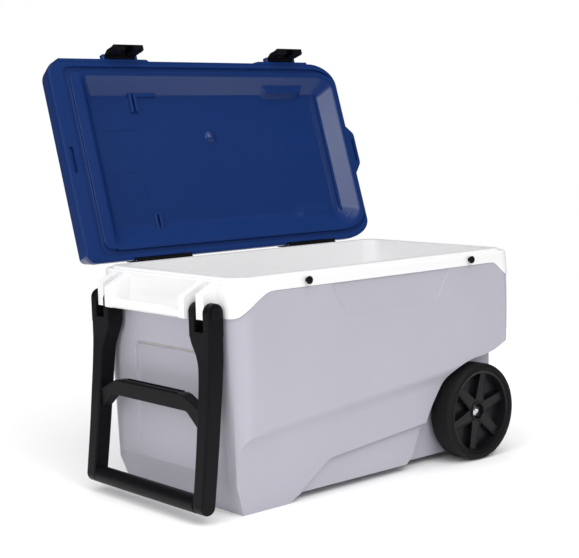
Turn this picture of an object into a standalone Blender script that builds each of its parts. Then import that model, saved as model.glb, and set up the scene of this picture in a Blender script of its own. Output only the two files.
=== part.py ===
"""Wheeled cooler: insulated tub, hinged lid, swinging tow handle and two wheels.

X runs from the handle end to the wheel end, Y from the latch side to the hinge side, Z up.
All sizes are in metres. The lid stands open, leaning back on its hinge stops, and the tow
handle hangs down. Shapes are drawn from the collar's handle-end, latch-side corner, and the
last step shifts them so that the middle of the whole object stands on the origin.
"""
import math

import bmesh
import bpy
from mathutils import Matrix, Vector

# Whole object: the point on the floor under the middle of its box
BOX_MIDDLE = Vector((0.36207, 0.29742, 0.0))
GAP = 0.0003

# Tub
TUB_LENGTH = 0.751
TUB_WIDTH = 0.4236
RIM_HEIGHT = 0.428
LIP_HEIGHT = 0.4322
CORNER_RADIUS = 0.042
WHEEL_CORNER_RADIUS = 0.022
WHEEL_CORNER_FROM = 0.25
SEAM_HEIGHT = 0.4055
SKIN = 0.003
WALL_DRAFT = 0.026
WALL_INSET = 0.002
END_SEAM_HANDLE = 0.361
END_SEAM_WHEEL = 0.376
LEDGE_TOP = ((-0.05, 0.136), (0.09, 0.154), (0.80, 0.2185))
LEDGE_BOTTOM = (0.121, 0.134, 0.1965)
LEDGE_OUTER_Y = 0.0082
LEDGE_INNER_Y = 0.022
TOE_Y = 0.037
UNDERSIDE_HEIGHT = 0.0145
FOOT_END = 0.149
FOLD_HEIGHT = 0.077
END_FACE_X = 0.742
END_STEP_HEIGHT = 0.215

# Liner and its collar
COLLAR_WALL = 0.004
COLLAR_UNDERSIDE = 0.4245
CAVITY_FLOOR = 0.048
CAVITY_ARCH_GAP = 0.024
TOWER_SPANS = ((0.048, 0.108), (0.3156, 0.3756))
TOWER_FACE_X = -0.0445
TOWER_BLOCK_X = -0.0320
TOWER_SLOT = 0.0195
PIN_BORE = 0.0054
CARRY_BAR = (-0.034, 0.3700)

# Wheels and axle
WHEEL_X = 0.645
WHEEL_RADIUS = 0.100
TYRE_SPAN = (-0.006, 0.052)
TYRE_BORE = 0.086
DISH_RADIUS = 0.0800
HUB_RADIUS = 0.0205
HUB_RECESS = 0.0160
HUB_FLOOR = 0.0163
WEB = (0.0190, 0.0225)
ARCH_DEPTH = 0.060
AXLE_RADIUS = 0.006
PLATE_HALF = 0.026
SPOKES = 6
SPOKE_TURN = math.radians(17.0)

# Tow handle
PIVOT = Vector((-0.020, 0.0, 0.374))
EAR_RADIUS = 0.0175
ARM_OUTER_Y = 0.030
ARM_DEPTH = 0.0170
TOE_RADIUS = 0.0160
GRIP_CENTRE = Vector((-0.0465, 0.0, 0.034))
GRIP_RADIUS = 0.0165
GRIP_CORE = 0.008
BRACE_TOP = 0.2245
BRACE_RIB = 0.0020

# Lid, drawn closed: X along the tub, forward distance from the hinge, and height over the rim
HINGE_Y = 0.4314
HINGE_Z = 0.4326
LID_OPEN_ANGLE = math.radians(107.56)
LID_X = (-0.0137, 0.767)
LID_FORWARD = (0.0014, 0.4225)
LID_HEIGHT = 0.056
LINER_FLANGE = 0.0090
GROOVE_OUTER = (0.0200, 0.7620, 0.0140, 0.4095)
GROOVE_INNER = (0.0340, 0.7575, 0.0270, 0.3985)
GROOVE_DEPTH = 0.0055
TRAY_RIM = (0.0600, 0.7545, 0.0310, 0.3940)
TRAY_FLOOR = (0.0860, 0.7040, 0.0750, 0.3530)
TRAY_DEPTH = 0.028
TRAY_WALL = 0.0042
FLOOR_CORNER = (0.010, 0.012, 0.012, 0.012, 0.012)
RIM_CORNER = (0.014, 0.056, 0.030, 0.085, 0.045)
GROOVE_CORNER = (0.018, 0.066, 0.040, 0.085, 0.044)
HINGE_CENTRES = (0.1685, 0.5755)
HINGE_HALF = 0.071
KNUCKLE_RADIUS = 0.0045
HINGE_PIN_BORE = 0.0018
COLLAR_SCREW_Z = 0.411
LID_SCREW_RISE = 0.022
SCREW_SPREAD = 0.018
SCREW_BORE = 0.0021

# Latches, drawn closed
LATCH_CENTRES = (0.1685, 0.612)
LATCH_HALF = 0.0365
LATCH_FORWARD = 0.4325
LATCH_RISE = 0.0085
LATCH_BORE = 0.0028
LATCH_CHANNEL = 0.0105
STUD_HEIGHT = 0.418
STUD_BORE = 0.0043

# Drain
DRAIN_Y = TUB_WIDTH / 2
DRAIN_Z = 0.069
DRAIN_RADIUS = 0.012

# Facets of a turned shape, and a distance safely outside the tub for cutting tools
ROUND = 24
FAR = 0.05


# ---------------------------------------------------------------- helpers

def clear_scene():
    for item in list(bpy.data.objects):
        bpy.data.objects.remove(item, do_unlink=True)


def plastic(name, colour, roughness, metallic=0.0):
    """A Principled BSDF finish, made once for each name."""
    found = bpy.data.materials.get(name)
    if found:
        return found
    finish = bpy.data.materials.new(name)
    finish.use_nodes = True
    shader = finish.node_tree.nodes["Principled BSDF"]
    shader.inputs["Base Color"].default_value = (*colour, 1.0)
    shader.inputs["Roughness"].default_value = roughness
    shader.inputs["Metallic"].default_value = metallic
    finish.diffuse_color = (*colour, 1.0)
    return finish


def finishes():
    return {
        "grey": plastic("grey_polyethylene", (0.46, 0.455, 0.50), 0.45),
        "white": plastic("white_polyethylene", (0.86, 0.86, 0.86), 0.35),
        "blue": plastic("blue_polyethylene", (0.004, 0.030, 0.125), 0.38),
        "black": plastic("black_polypropylene", (0.012, 0.012, 0.014), 0.45),
        "rubber": plastic("black_rubber", (0.018, 0.018, 0.019), 0.75),
        "foam": plastic("insulating_foam", (0.72, 0.62, 0.40), 0.9),
        "steel": plastic("zinc_plated_steel", (0.60, 0.61, 0.63), 0.3, 1.0),
    }


def solid(name, mesh_builder):
    """Wrap a bmesh as an object with every face turned outward."""
    bmesh.ops.remove_doubles(mesh_builder, verts=mesh_builder.verts, dist=1e-6)
    bmesh.ops.recalc_face_normals(mesh_builder, faces=mesh_builder.faces)
    bmesh.ops.triangulate(mesh_builder, faces=mesh_builder.faces)
    mesh = bpy.data.meshes.new(name)
    mesh_builder.to_mesh(mesh)
    mesh_builder.free()
    item = bpy.data.objects.new(name, mesh)
    bpy.context.scene.collection.objects.link(item)
    return item


def loft(name, rings, ring_closed=False):
    """Skin a list of rings with equal point counts, capped unless the list closes on itself."""
    shape = bmesh.new()
    loops = [[shape.verts.new(point) for point in ring] for ring in rings]
    pairs = list(zip(loops, loops[1:]))
    if ring_closed:
        pairs.append((loops[-1], loops[0]))
    count = len(loops[0])
    for low, high in pairs:
        for i in range(count):
            j = (i + 1) % count
            shape.faces.new((low[i], low[j], high[j], high[i]))
    if not ring_closed:
        shape.faces.new(loops[0])
        shape.faces.new(loops[-1])
    return solid(name, shape)


def arc(centre, radius_a, radius_b, start, end, steps):
    """Points on an elliptical arc, angles in degrees."""
    points = []
    for i in range(steps + 1):
        angle = math.radians(start + (end - start) * i / steps)
        points.append((centre[0] + radius_a * math.cos(angle), centre[1] + radius_b * math.sin(angle)))
    return points


def rounded_outline(x0, x1, y0, y1, radii, steps=6):
    """A rectangle with corner radii (rx, ry) in the order x0y0, x1y0, x1y1, x0y1."""
    (ax, ay), (bx, by), (cx, cy), (dx, dy) = radii
    return (arc((x0 + ax, y0 + ay), ax, ay, 180, 270, steps)
            + arc((x1 - bx, y0 + by), bx, by, 270, 360, steps)
            + arc((x1 - cx, y1 - cy), cx, cy, 0, 90, steps)
            + arc((x0 + dx, y1 - dy), dx, dy, 90, 180, steps))


def rounded_ring(x0, x1, y0, y1, radius, z, wheel_radius=None):
    """A level rounded rectangle; the corners at the wheel end may have their own radius."""
    tight = radius if wheel_radius is None else wheel_radius
    radii = ((radius, radius), (tight, tight), (tight, tight), (radius, radius))
    return [Vector((x, y, z)) for x, y in rounded_outline(x0, x1, y0, y1, radii)]


def grown(outline, distance):
    """An outline moved outward by a distance, with mitred corners."""
    count = len(outline)
    area = sum(outline[i - 1][0] * outline[i][1] - outline[i][0] * outline[i - 1][1]
               for i in range(count))
    side = 1.0 if area > 0 else -1.0
    moved = []
    for i in range(count):
        here = Vector(outline[i])
        before = (here - Vector(outline[i - 1])).normalized()
        after = (Vector(outline[(i + 1) % count]) - here).normalized()
        normal_a = Vector((before.y, -before.x)) * side
        normal_b = Vector((after.y, -after.x)) * side
        mitre = (normal_a + normal_b).normalized()
        moved.append(tuple(here + mitre * (distance / max(mitre.dot(normal_a), 0.4))))
    return moved


AXES = {"x": (1, 2, 0), "y": (0, 2, 1), "z": (0, 1, 2)}


def prism(name, axis, outline, low, high):
    """An outline in the two other axes, extruded along one axis from low to high."""
    first, second, along = AXES[axis]
    rings = []
    for level in (low, high):
        ring = []
        for a, b in outline:
            point = Vector((0.0, 0.0, 0.0))
            point[first], point[second], point[along] = a, b, level
            ring.append(point)
        rings.append(ring)
    return loft(name, rings)


def block(name, x, y, z):
    return prism(name, "z", [(x[0], y[0]), (x[1], y[0]), (x[1], y[1]), (x[0], y[1])], *z)


def turned(name, axis, centre, profile, steps=ROUND, hollow=False):
    """A profile of (radius, distance along the axis) turned about the axis.

    A hollow profile is a closed section clear of the axis, otherwise both ends are capped.
    """
    first, second, along = AXES[axis]
    rings = []
    for radius, level in profile:
        ring = []
        for i in range(steps):
            angle = 2 * math.pi * (i + 0.5) / steps
            point = Vector((0.0, 0.0, 0.0))
            point[first] = centre[first] + radius * math.cos(angle)
            point[second] = centre[second] + radius * math.sin(angle)
            point[along] = level
            ring.append(point)
        rings.append(ring)
    return loft(name, rings, ring_closed=hollow)


def tube(name, axis, centre, inner, outer, low, high, steps=ROUND):
    section = [(inner, low), (outer, low), (outer, high), (inner, high)]
    return turned(name, axis, centre, section, steps, hollow=True)


def rod(name, axis, centre, radius, low, high, steps=ROUND, chamfer=0.0):
    profile = [(radius, low), (radius, high)]
    if chamfer:
        profile = [(radius - chamfer, low), (radius, low + chamfer),
                   (radius, high - chamfer), (radius - chamfer, high)]
    return turned(name, axis, centre, profile, steps)


def flat_sided_nut(axis, centre, bore, radius, span, sides):
    body = turned("nut", axis, centre, [(radius, span[0]), (radius, span[1])], sides)
    return cut(body, rod("bore", axis, centre, bore, span[0] - 0.01, span[1] + 0.01, 24))


def combined(target, tools, operation):
    """Apply one Boolean per tool to the target and drop the tools."""
    for tool in tools:
        cut = target.modifiers.new(tool.name, "BOOLEAN")
        cut.operation = operation
        cut.object = tool
    bpy.context.view_layer.update()
    depsgraph = bpy.context.evaluated_depsgraph_get()
    result = bpy.data.meshes.new_from_object(target.evaluated_get(depsgraph))
    target.modifiers.clear()
    target.data = result
    for tool in tools:
        bpy.data.objects.remove(tool, do_unlink=True)
    return cleaned(target)


def cleaned(item):
    shape = bmesh.new()
    shape.from_mesh(item.data)
    bmesh.ops.remove_doubles(shape, verts=shape.verts, dist=2e-6)
    bmesh.ops.dissolve_degenerate(shape, edges=shape.edges, dist=2e-6)
    shape.to_mesh(item.data)
    shape.free()
    return item


def cut(target, *tools):
    return combined(target, list(tools), "DIFFERENCE")


def fused(target, *tools):
    return combined(target, list(tools), "UNION")


def mirrored_y(points):
    """The same outline or spans on the hinge side of the tub."""
    return [(TUB_WIDTH - y, *rest) for y, *rest in points]


def across(near, far):
    """A span measured from the latch side, and its mirror image on the hinge side."""
    return ((near, far), (TUB_WIDTH - far, TUB_WIDTH - near))


def finish(item, name, look, pivot=Vector((0.0, 0.0, 0.0)), tilt=0.0, smooth=40):
    """Name, colour and place a piece whose mesh was drawn around the tub's corner."""
    item.name = name
    item.data.name = name
    item.data.materials.clear()
    item.data.materials.append(finishes()[look])
    item.data.transform(Matrix.Translation(-pivot))
    item.rotation_euler = (tilt, 0.0, 0.0)
    place = pivot
    if tilt:
        place = hinge_point() + Matrix.Rotation(tilt, 3, "X") @ (pivot - hinge_point())
    item.location = place - BOX_MIDDLE
    item.data.shade_smooth()
    item.data.set_sharp_from_angle(angle=math.radians(smooth))
    return item


# ---------------------------------------------------------------- tub

def wall_inset(z):
    return WALL_INSET + (SEAM_HEIGHT - z) * WALL_DRAFT


def wheel_corner(z):
    """Radius of the tub's corners at the wheel end, tightening below the rim."""
    share = min(max((z - WHEEL_CORNER_FROM) / (RIM_HEIGHT - WHEEL_CORNER_FROM), 0.0), 1.0)
    return WHEEL_CORNER_RADIUS + (CORNER_RADIUS - WHEEL_CORNER_RADIUS) * share ** 3


def front_seam():
    """Line between collar and tub on the long sides, from the handle end, as (x, z)."""
    return [(-0.08, END_SEAM_HANDLE), (0.009, END_SEAM_HANDLE), (0.018, 0.3655), (0.027, 0.373),
            (0.051, 0.390), (0.066, 0.3995), (0.078, 0.4040), (0.090, SEAM_HEIGHT),
            (0.690, SEAM_HEIGHT), (0.729, END_SEAM_WHEEL), (0.80, END_SEAM_WHEEL)]


def above_seam(shift=0.0):
    line = [(x, z + shift) for x, z in front_seam()]
    return prism("above_seam", "y", line + [(0.80, 0.50), (-0.08, 0.50)], -FAR, TUB_WIDTH + FAR)


def below_seam(shift=0.0):
    line = [(x, z + shift) for x, z in front_seam()]
    return prism("below_seam", "y", line + [(0.80, 0.20), (-0.08, 0.20)], -FAR, TUB_WIDTH + FAR)


def arch_outline():
    """Edge of a wheel arch as (x, z), from the foot of the tub over the wheel."""
    curve = [(0.472, 0.020), (0.484, 0.034), (0.517, 0.107), (0.526, 0.128), (0.538, 0.148),
             (0.556, 0.176), (0.574, 0.193), (0.600, 0.205), (0.633, 0.213), (0.668, 0.216),
             (0.700, 0.223), (0.734, 0.238)]
    return curve + [(0.80, 0.245), (0.80, -FAR), (0.460, -FAR), (0.462, 0.012)]


def ledge_cutter(depth, hinge_side):
    """Space under the sloping ledge that steps the long walls in."""
    rings = []
    for (x, top), bottom in zip(LEDGE_TOP, LEDGE_BOTTOM):
        section = [(-FAR, top + depth), (LEDGE_OUTER_Y + depth, top + depth),
                   (LEDGE_INNER_Y + depth, bottom + depth), (TOE_Y + depth, 0.0),
                   (TOE_Y + depth, -FAR), (-FAR, -FAR)]
        if hinge_side:
            section = mirrored_y(section)
        rings.append([Vector((x, y, z)) for y, z in section])
    return loft("ledge", rings)


def tub_cutters(depth):
    """Everything taken off the plain tub block, enlarged by the wall depth."""
    facet = grown([(0.1745, -0.03), (0.1745, 0.018), (0.247, 0.070), (0.541, 0.097),
                   (0.60, 0.060), (0.60, -0.03)], depth)
    badge = grown([(0.239, 0.389), (0.271, 0.344), (0.284, 0.341), (0.499, 0.341),
                   (0.517, 0.345), (0.5495, 0.400), (0.5495, 0.404), (0.234, 0.404)], depth)
    underside = [(FOOT_END, -FAR), (FOOT_END, depth), (0.159 - depth / 2, 0.007 + depth),
                 (0.1735 - depth / 2, UNDERSIDE_HEIGHT + depth), (0.80, UNDERSIDE_HEIGHT + depth),
                 (0.80, -FAR)]
    fold = [(-FAR, FOLD_HEIGHT + depth), (0.0105 + depth, FOLD_HEIGHT + depth),
            (0.037 + depth, 0.0), (0.037 + depth, -FAR), (-FAR, -FAR)]
    end_step = [(END_FACE_X - depth, -FAR), (END_FACE_X - depth, END_STEP_HEIGHT + depth / 2),
                (0.76 - depth / 2, 0.243 + depth), (0.80, 0.243 + depth), (0.80, -FAR)]
    end_panel = grown([(0.117, 0.289), (0.112, 0.068), (0.3116, 0.068), (0.3066, 0.289)], depth)
    arch = grown(arch_outline(), depth)
    full = (-FAR, TUB_WIDTH + FAR)
    tools = [prism("underside", "y", underside, *full), prism("fold", "y", fold, *full),
             prism("end_step", "y", end_step, *full),
             prism("end_panel", "x", end_panel, -FAR, 0.0125 + depth)]
    for side in (0, 1):
        tools.append(ledge_cutter(depth, side == 1))
        tools.append(prism("facet", "y", facet, *across(-FAR, 0.041 + depth)[side]))
        tools.append(prism("badge", "y", badge, *across(-FAR, 0.0045 + depth)[side]))
        tools.append(prism("arch", "y", arch, *across(-FAR, ARCH_DEPTH + depth)[side]))
    return tools


def tub_block(depth, top=0.45):
    """The tub's outer form, pulled in by a depth all round and cut off at a height."""
    rings = []
    for z in (depth, WHEEL_CORNER_FROM, 0.345, 0.385, 0.410, top):
        inset = wall_inset(z) + depth
        rings.append(rounded_ring(inset, TUB_LENGTH - WALL_INSET - depth, inset, TUB_WIDTH - inset,
                                  CORNER_RADIUS - depth, z, wheel_corner(z) - depth))
    return cut(loft("tub_block", rings), *tub_cutters(depth))


def cavity_block(depth):
    """The cold space inside the liner, pulled in by a depth all round."""
    levels = ((CAVITY_FLOOR, 0.050, 0.716, 0.050), (0.225, 0.041, 0.717, 0.042),
              (0.285, 0.038, 0.718, 0.038), (0.45, 0.032, 0.719, 0.032))
    rings = []
    for z, x0, x1, y0 in levels:
        height = z + depth if z == CAVITY_FLOOR else z
        rings.append(rounded_ring(x0 + depth, x1 - depth, y0 + depth, TUB_WIDTH - y0 - depth,
                                  0.030 - depth, height))
    tools = [prism("arch", "y", grown(arch_outline(), 0.014 + depth), *span)
             for span in across(-FAR, ARCH_DEPTH + CAVITY_ARCH_GAP + depth)]
    return cut(loft("cavity", rings), *tools)


def drain_hole():
    return rod("drain_hole", "x", (0, DRAIN_Y, DRAIN_Z), DRAIN_RADIUS + 2 * GAP, END_FACE_X - FAR, END_FACE_X + FAR)


def make_tub_shell():
    shell = cut(tub_block(0.0), tub_block(SKIN, top=0.46), above_seam(), drain_hole())
    for span in across(0.050, 0.075):
        cut(shell, rod("bolt_hole", "y", (WHEEL_X, 0, WHEEL_RADIUS), AXLE_RADIUS + GAP, *span, 16))
    finish(shell, "tub_shell", "grey")


def make_insulation():
    foam = cut(tub_block(SKIN + 2 * GAP, top=COLLAR_UNDERSIDE - 2 * GAP),
               cavity_block(-SKIN - 2 * GAP), drain_hole())
    pocket = (WHEEL_X - PLATE_HALF - GAP, WHEEL_X + PLATE_HALF + GAP)
    height = (WHEEL_RADIUS - PLATE_HALF - GAP, WHEEL_RADIUS + PLATE_HALF + GAP)
    for span in across(0.055, 0.076):
        cut(foam, block("plate_pocket", pocket, span, height))
    finish(foam, "tub_insulation", "foam")


def collar_ring(inset, z):
    return rounded_ring(inset, TUB_LENGTH - inset, inset, TUB_WIDTH - inset,
                        CORNER_RADIUS - inset, z, wheel_corner(z) - inset)


def make_liner():
    collar = loft("collar", [collar_ring(0.0016, 0.345), collar_ring(0.0009, 0.385),
                             collar_ring(0.0005, 0.410), collar_ring(0.0002, 0.4255),
                             collar_ring(0.0026, RIM_HEIGHT), collar_ring(0.0132, RIM_HEIGHT),
                             collar_ring(0.0150, LIP_HEIGHT)])
    under = loft("under", [collar_ring(0.0016 + COLLAR_WALL, 0.30), collar_ring(0.0016 + COLLAR_WALL, 0.345),
                           collar_ring(0.0010 + COLLAR_WALL, 0.385), collar_ring(0.0007 + COLLAR_WALL, 0.410),
                           collar_ring(0.0005 + COLLAR_WALL, COLLAR_UNDERSIDE)])
    cut(collar, under)
    skirt_only = cut(below_seam(2 * GAP),
                     loft("core", [collar_ring(0.012, 0.10), collar_ring(0.012, 0.60)]))
    cut(collar, skirt_only)
    walls = cut(cavity_block(-SKIN), block("lid_space", (-0.1, 0.9), (-0.1, 0.6), (0.4264, 0.6)))
    fused(collar, walls)
    for span in TOWER_SPANS:
        fused(collar, make_tower(span))
    fused(collar, carry_bar())
    cut(collar, cavity_block(0.0))
    for tool in pin_bores():
        cut(collar, tool)
    cut(collar, drain_hole(), *stud_bores(), *collar_screw_bores())
    finish(collar, "tub_liner", "white")


def make_tower(span):
    foot = END_SEAM_HANDLE + 2 * GAP
    side = [(0.0030, 0.4245), (TOWER_FACE_X + 0.003, 0.4015), (TOWER_FACE_X, 0.398),
            (TOWER_FACE_X, foot + 0.004), (TOWER_FACE_X + 0.004, foot), (0.0030, foot)]
    tower = prism("tower", "y", side, *span)
    middle = sum(span) / 2 + (0.0005 if span[0] < TUB_WIDTH / 2 else -0.0005)
    slot = (middle - TOWER_SLOT / 2, middle + TOWER_SLOT / 2)
    outer = (span[0], slot[0]) if span[0] < TUB_WIDTH / 2 else (slot[1], span[1])
    return cut(tower, block("slot", (-0.08, 0.0), slot, (0.30, 0.45)),
               block("step", (-0.08, TOWER_BLOCK_X), outer, (0.30, 0.45)))


def carry_bar():
    centre_x, centre_z = CARRY_BAR
    half_x, half_z = 0.0105, 0.0083
    outline = rounded_outline(centre_x - half_x, centre_x + half_x, centre_z - half_z,
                              centre_z + half_z, ((0.006, 0.006),) * 4, 4)
    return prism("carry_bar", "y", outline, TOWER_SPANS[0][1] - 0.003, TOWER_SPANS[1][0] + 0.003)


def pin_bores():
    centre = (PIVOT.x, 0, PIVOT.z)
    return [rod("bore", "y", centre, PIN_BORE, low, high, 16) for low, high in across(0.02, 0.099)]


# ---------------------------------------------------------------- tow handle

def arm_centre(z):
    """X of the arm's middle: straight under the pivot, then easing outward to the grip."""
    bend = max(0.0, (0.300 - z) / (0.300 - GRIP_CENTRE.z))
    return PIVOT.x + (GRIP_CENTRE.x - PIVOT.x) * bend ** 1.25


def arm_section(z, inner_y):
    x = arm_centre(z)
    half = ARM_DEPTH if z > 0.3 else ARM_DEPTH + (TOE_RADIUS - ARM_DEPTH) * (0.3 - z) / (0.3 - GRIP_CENTRE.z)
    return [Vector((px, py, z)) for px, py in rounded_outline(
        x - half, x + half, ARM_OUTER_Y, inner_y, ((0.004, 0.004),) * 4, 2)]


def ear(name, low, high):
    dome = arc((PIVOT.x, PIVOT.z), EAR_RADIUS, EAR_RADIUS, 0, 180, 12)
    outline = dome + [(PIVOT.x - ARM_DEPTH, 0.332), (PIVOT.x + ARM_DEPTH, 0.332)]
    return prism(name, "y", outline, low, high)


def make_arm():
    inner_edge = ((0.3400, 0.0868), (0.326, 0.0860), (0.312, 0.0800), (0.296, 0.0700),
                  (0.280, 0.0640), (0.255, 0.0610), (0.200, 0.0596), (0.120, 0.0588),
                  (GRIP_CENTRE.z, 0.0580))
    arm = loft("arm", [arm_section(z, inner) for z, inner in inner_edge])
    toe = rod("toe", "y", (GRIP_CENTRE.x, 0, GRIP_CENTRE.z), TOE_RADIUS, ARM_OUTER_Y + 0.001, 0.0578)
    bore = rod("bore", "y", (PIVOT.x, 0, PIVOT.z), PIN_BORE, 0.0, 0.2, 16)
    fused(arm, toe, ear("outer_ear", ARM_OUTER_Y, 0.0464), ear("inner_ear", 0.0704, 0.0866))
    return cut(arm, bore)


def make_handle():
    frame = make_arm()
    other = frame.copy()
    other.data = frame.data.copy()
    bpy.context.scene.collection.objects.link(other)
    other.data.transform(Matrix.Translation((0, TUB_WIDTH, 0)) @ Matrix.Diagonal((1, -1, 1, 1)))
    other.data.flip_normals()
    reach = TUB_WIDTH
    lower = [(0.055, 0.1620), (0.060, 0.1645), (0.097, 0.1950)]
    upper = [(0.125, BRACE_TOP + BRACE_RIB), (0.123, BRACE_TOP), (0.108, BRACE_TOP), (0.055, 0.2000)]
    outline = lower + mirrored_y(reversed(lower)) + mirrored_y(reversed(upper)) + upper
    middle = arm_centre(0.2)
    brace = prism("brace", "x", outline, middle - 0.0130, middle + 0.0090)
    core = rod("core", "y", (GRIP_CENTRE.x, 0, GRIP_CENTRE.z), GRIP_CORE, 0.050, reach - 0.050)
    fused(frame, other, brace, core)
    finish(frame, "handle_frame", "black", PIVOT)
    grip = tube("grip", "y", (GRIP_CENTRE.x, 0, GRIP_CENTRE.z), GRIP_CORE + GAP, GRIP_RADIUS,
                0.0583, reach - 0.0583)
    finish(grip, "handle_grip", "black", PIVOT)


def make_handle_pins():
    centre = (PIVOT.x, 0, PIVOT.z)
    for name, mirror in (("handle_pin_front", False), ("handle_pin_rear", True)):
        profile = [(0.0095, 0.0268), (0.0118, 0.0277), (0.0122, 0.0297), (0.0050, 0.0297),
                   (0.0050, 0.0975), (0.0042, 0.0985)]
        if mirror:
            profile = [(radius, TUB_WIDTH - y) for radius, y in profile]
        finish(turned(name, "y", centre, profile, 16), name, "black", PIVOT)


# ---------------------------------------------------------------- wheels

def make_wheel(side, mirror):
    centre = Vector((WHEEL_X, 0, WHEEL_RADIUS))
    pivot = Vector((WHEEL_X, (TUB_WIDTH - 0.023) if mirror else 0.023, WHEEL_RADIUS))

    def turn_over(profile):
        return [(r, TUB_WIDTH - y) for r, y in profile] if mirror else profile

    low, high = TYRE_SPAN
    tread = [(TYRE_BORE, low + 0.004), (0.0890, low), (0.0945, low + 0.0015), (0.0985, low + 0.006),
             (WHEEL_RADIUS, low + 0.012), (WHEEL_RADIUS, high - 0.012), (0.0985, high - 0.006),
             (0.0945, high - 0.0015), (0.0890, high), (TYRE_BORE, high - 0.004)]
    tyre = turned("tyre", "y", centre, turn_over(tread), 48, hollow=True)
    finish(tyre, f"wheel_tyre_{side}", "rubber", pivot, smooth=50)

    rim_edge = TYRE_BORE - GAP
    bore = AXLE_RADIUS + GAP
    section = [(DISH_RADIUS, low + 0.0060), (rim_edge, low + 0.0045), (rim_edge, high - 0.0045),
               (DISH_RADIUS, high - 0.0045), (0.0785, WEB[1]), (HUB_RADIUS, WEB[1]), (HUB_RADIUS, 0.0530),
               (bore, 0.0530), (bore, HUB_FLOOR), (HUB_RECESS, HUB_FLOOR), (HUB_RECESS, 0.0055),
               (HUB_RADIUS, 0.0055), (HUB_RADIUS, WEB[0]), (0.0780, WEB[0])]
    rim = turned("rim", "y", centre, turn_over(section), 48, hollow=True)
    spokes = [make_spoke(centre, i, turn_over) for i in range(SPOKES)]
    fused(rim, *spokes)
    finish(rim, f"wheel_rim_{side}", "black", pivot, smooth=35)


def make_spoke(centre, index, turn_over):
    """A tapered spoke from inside the hub's wall to inside the rim's wall."""
    angle = 2 * math.pi * index / SPOKES + SPOKE_TURN
    along = Vector((math.cos(angle), 0, math.sin(angle)))
    side = Vector((-math.sin(angle), 0, math.cos(angle)))
    rings = []
    for reach, half in ((0.0178, 0.0140), (0.0800, 0.0095)):
        corners = ((-half, 0.0070), (half, 0.0070), (half - 0.002, 0.0200), (-half + 0.002, 0.0200))
        ring = []
        for offset, y in corners:
            depth = turn_over([(0, y)])[0][1]
            ring.append(centre + along * reach + side * offset + Vector((0, depth, 0)))
        rings.append(ring)
    return loft("spoke", rings)


def make_axle_parts(side, index):
    """Stub axle bolt, its washer, and the plate and nut that hold it behind the arch wall."""
    centre = (WHEEL_X, 0, WHEEL_RADIUS)
    profile = [(0.0040, 0.0105), (0.0052, 0.0115), (0.0105, 0.0135), (0.0105, HUB_FLOOR - GAP),
               (AXLE_RADIUS, HUB_FLOOR - GAP),
               (AXLE_RADIUS, 0.0738), (AXLE_RADIUS - 0.001, 0.0748)]
    if index:
        profile = [(radius, TUB_WIDTH - y) for radius, y in profile]
    finish(turned("bolt", "y", centre, profile, 16), f"axle_bolt_{side}", "steel")
    bore = AXLE_RADIUS + GAP
    washer = tube("washer", "y", centre, bore, 0.0140, *across(0.0535, 0.0590)[index], 16)
    finish(washer, f"axle_washer_{side}", "steel")
    plate = block("plate", (WHEEL_X - PLATE_HALF, WHEEL_X + PLATE_HALF),
                  across(0.0635, 0.0663)[index],
                  (WHEEL_RADIUS - PLATE_HALF, WHEEL_RADIUS + PLATE_HALF))
    cut(plate, rod("bore", "y", centre, bore, 0.0, TUB_WIDTH, 16))
    finish(plate, f"axle_plate_{side}", "steel")
    nut = flat_sided_nut("y", centre, bore, 0.0110, across(0.0667, 0.0727)[index], 6)
    finish(nut, f"axle_nut_{side}", "steel", smooth=20)


# ---------------------------------------------------------------- drain

def make_drain():
    centre = (0, DRAIN_Y, DRAIN_Z)
    face = END_FACE_X
    inner, outer = face - 0.0320, face + 0.0125
    flange = (face + 0.0016, face + 0.0046)
    section = [(0.0085, inner), (DRAIN_RADIUS, inner), (DRAIN_RADIUS, flange[0]), (0.0185, flange[0]),
               (0.0185, flange[1]), (DRAIN_RADIUS, flange[1]), (DRAIN_RADIUS, outer), (0.0085, outer)]
    finish(turned("spout", "x", centre, section, hollow=True), "drain_spout", "black")
    gasket = tube("gasket", "x", centre, DRAIN_RADIUS + GAP, 0.0175, face + GAP, flange[0] - GAP)
    finish(gasket, "drain_gasket", "rubber")
    nut = flat_sided_nut("x", centre, DRAIN_RADIUS + GAP, 0.0180, (inner + 0.0002, inner + 0.0056), 8)
    finish(nut, "drain_nut", "black", smooth=20)
    knurl = []
    for i in range(32):
        angle = 2 * math.pi * i / 32
        radius = 0.0162 if i % 2 else 0.0153
        knurl.append((DRAIN_Y + radius * math.cos(angle), DRAIN_Z + radius * math.sin(angle)))
    cap = cut(prism("cap", "x", knurl, flange[1] + 0.0004, outer + 0.0060),
              rod("bore", "x", centre, DRAIN_RADIUS + GAP, inner, outer + 0.0005))
    finish(cap, "drain_cap", "black", Vector((face + 0.0118, DRAIN_Y, DRAIN_Z)), smooth=20)


# ---------------------------------------------------------------- lid, drawn closed

def hinge_point():
    return Vector((0.0, HINGE_Y, HINGE_Z))


def lid_ring(inset, rise, bounds=None, radii=None):
    """A ring of the lid's outline at a height over the rim plane."""
    x0, x1 = LID_X
    near, far = LID_FORWARD
    corner = radii or ((0.030, 0.035), (0.076, 0.052), (0.085, 0.044), (0.020, 0.020))
    if bounds:
        x0, x1, near, far = bounds
    shrunk = [(max(rx - inset, 0.004), max(ry - inset, 0.004)) for rx, ry in corner]
    outline = rounded_outline(x0 + inset, x1 - inset, HINGE_Y - far + inset,
                              HINGE_Y - near - inset, shrunk)
    return [Vector((x, y, HINGE_Z + rise)) for x, y in outline]


def lid_box(x, forward, rise):
    """A block in lid terms: along the tub, forward of the hinge, and height over the rim."""
    return block("lid_box", x, (HINGE_Y - forward[1], HINGE_Y - forward[0]),
                 (HINGE_Z + rise[0], HINGE_Z + rise[1]))


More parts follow.
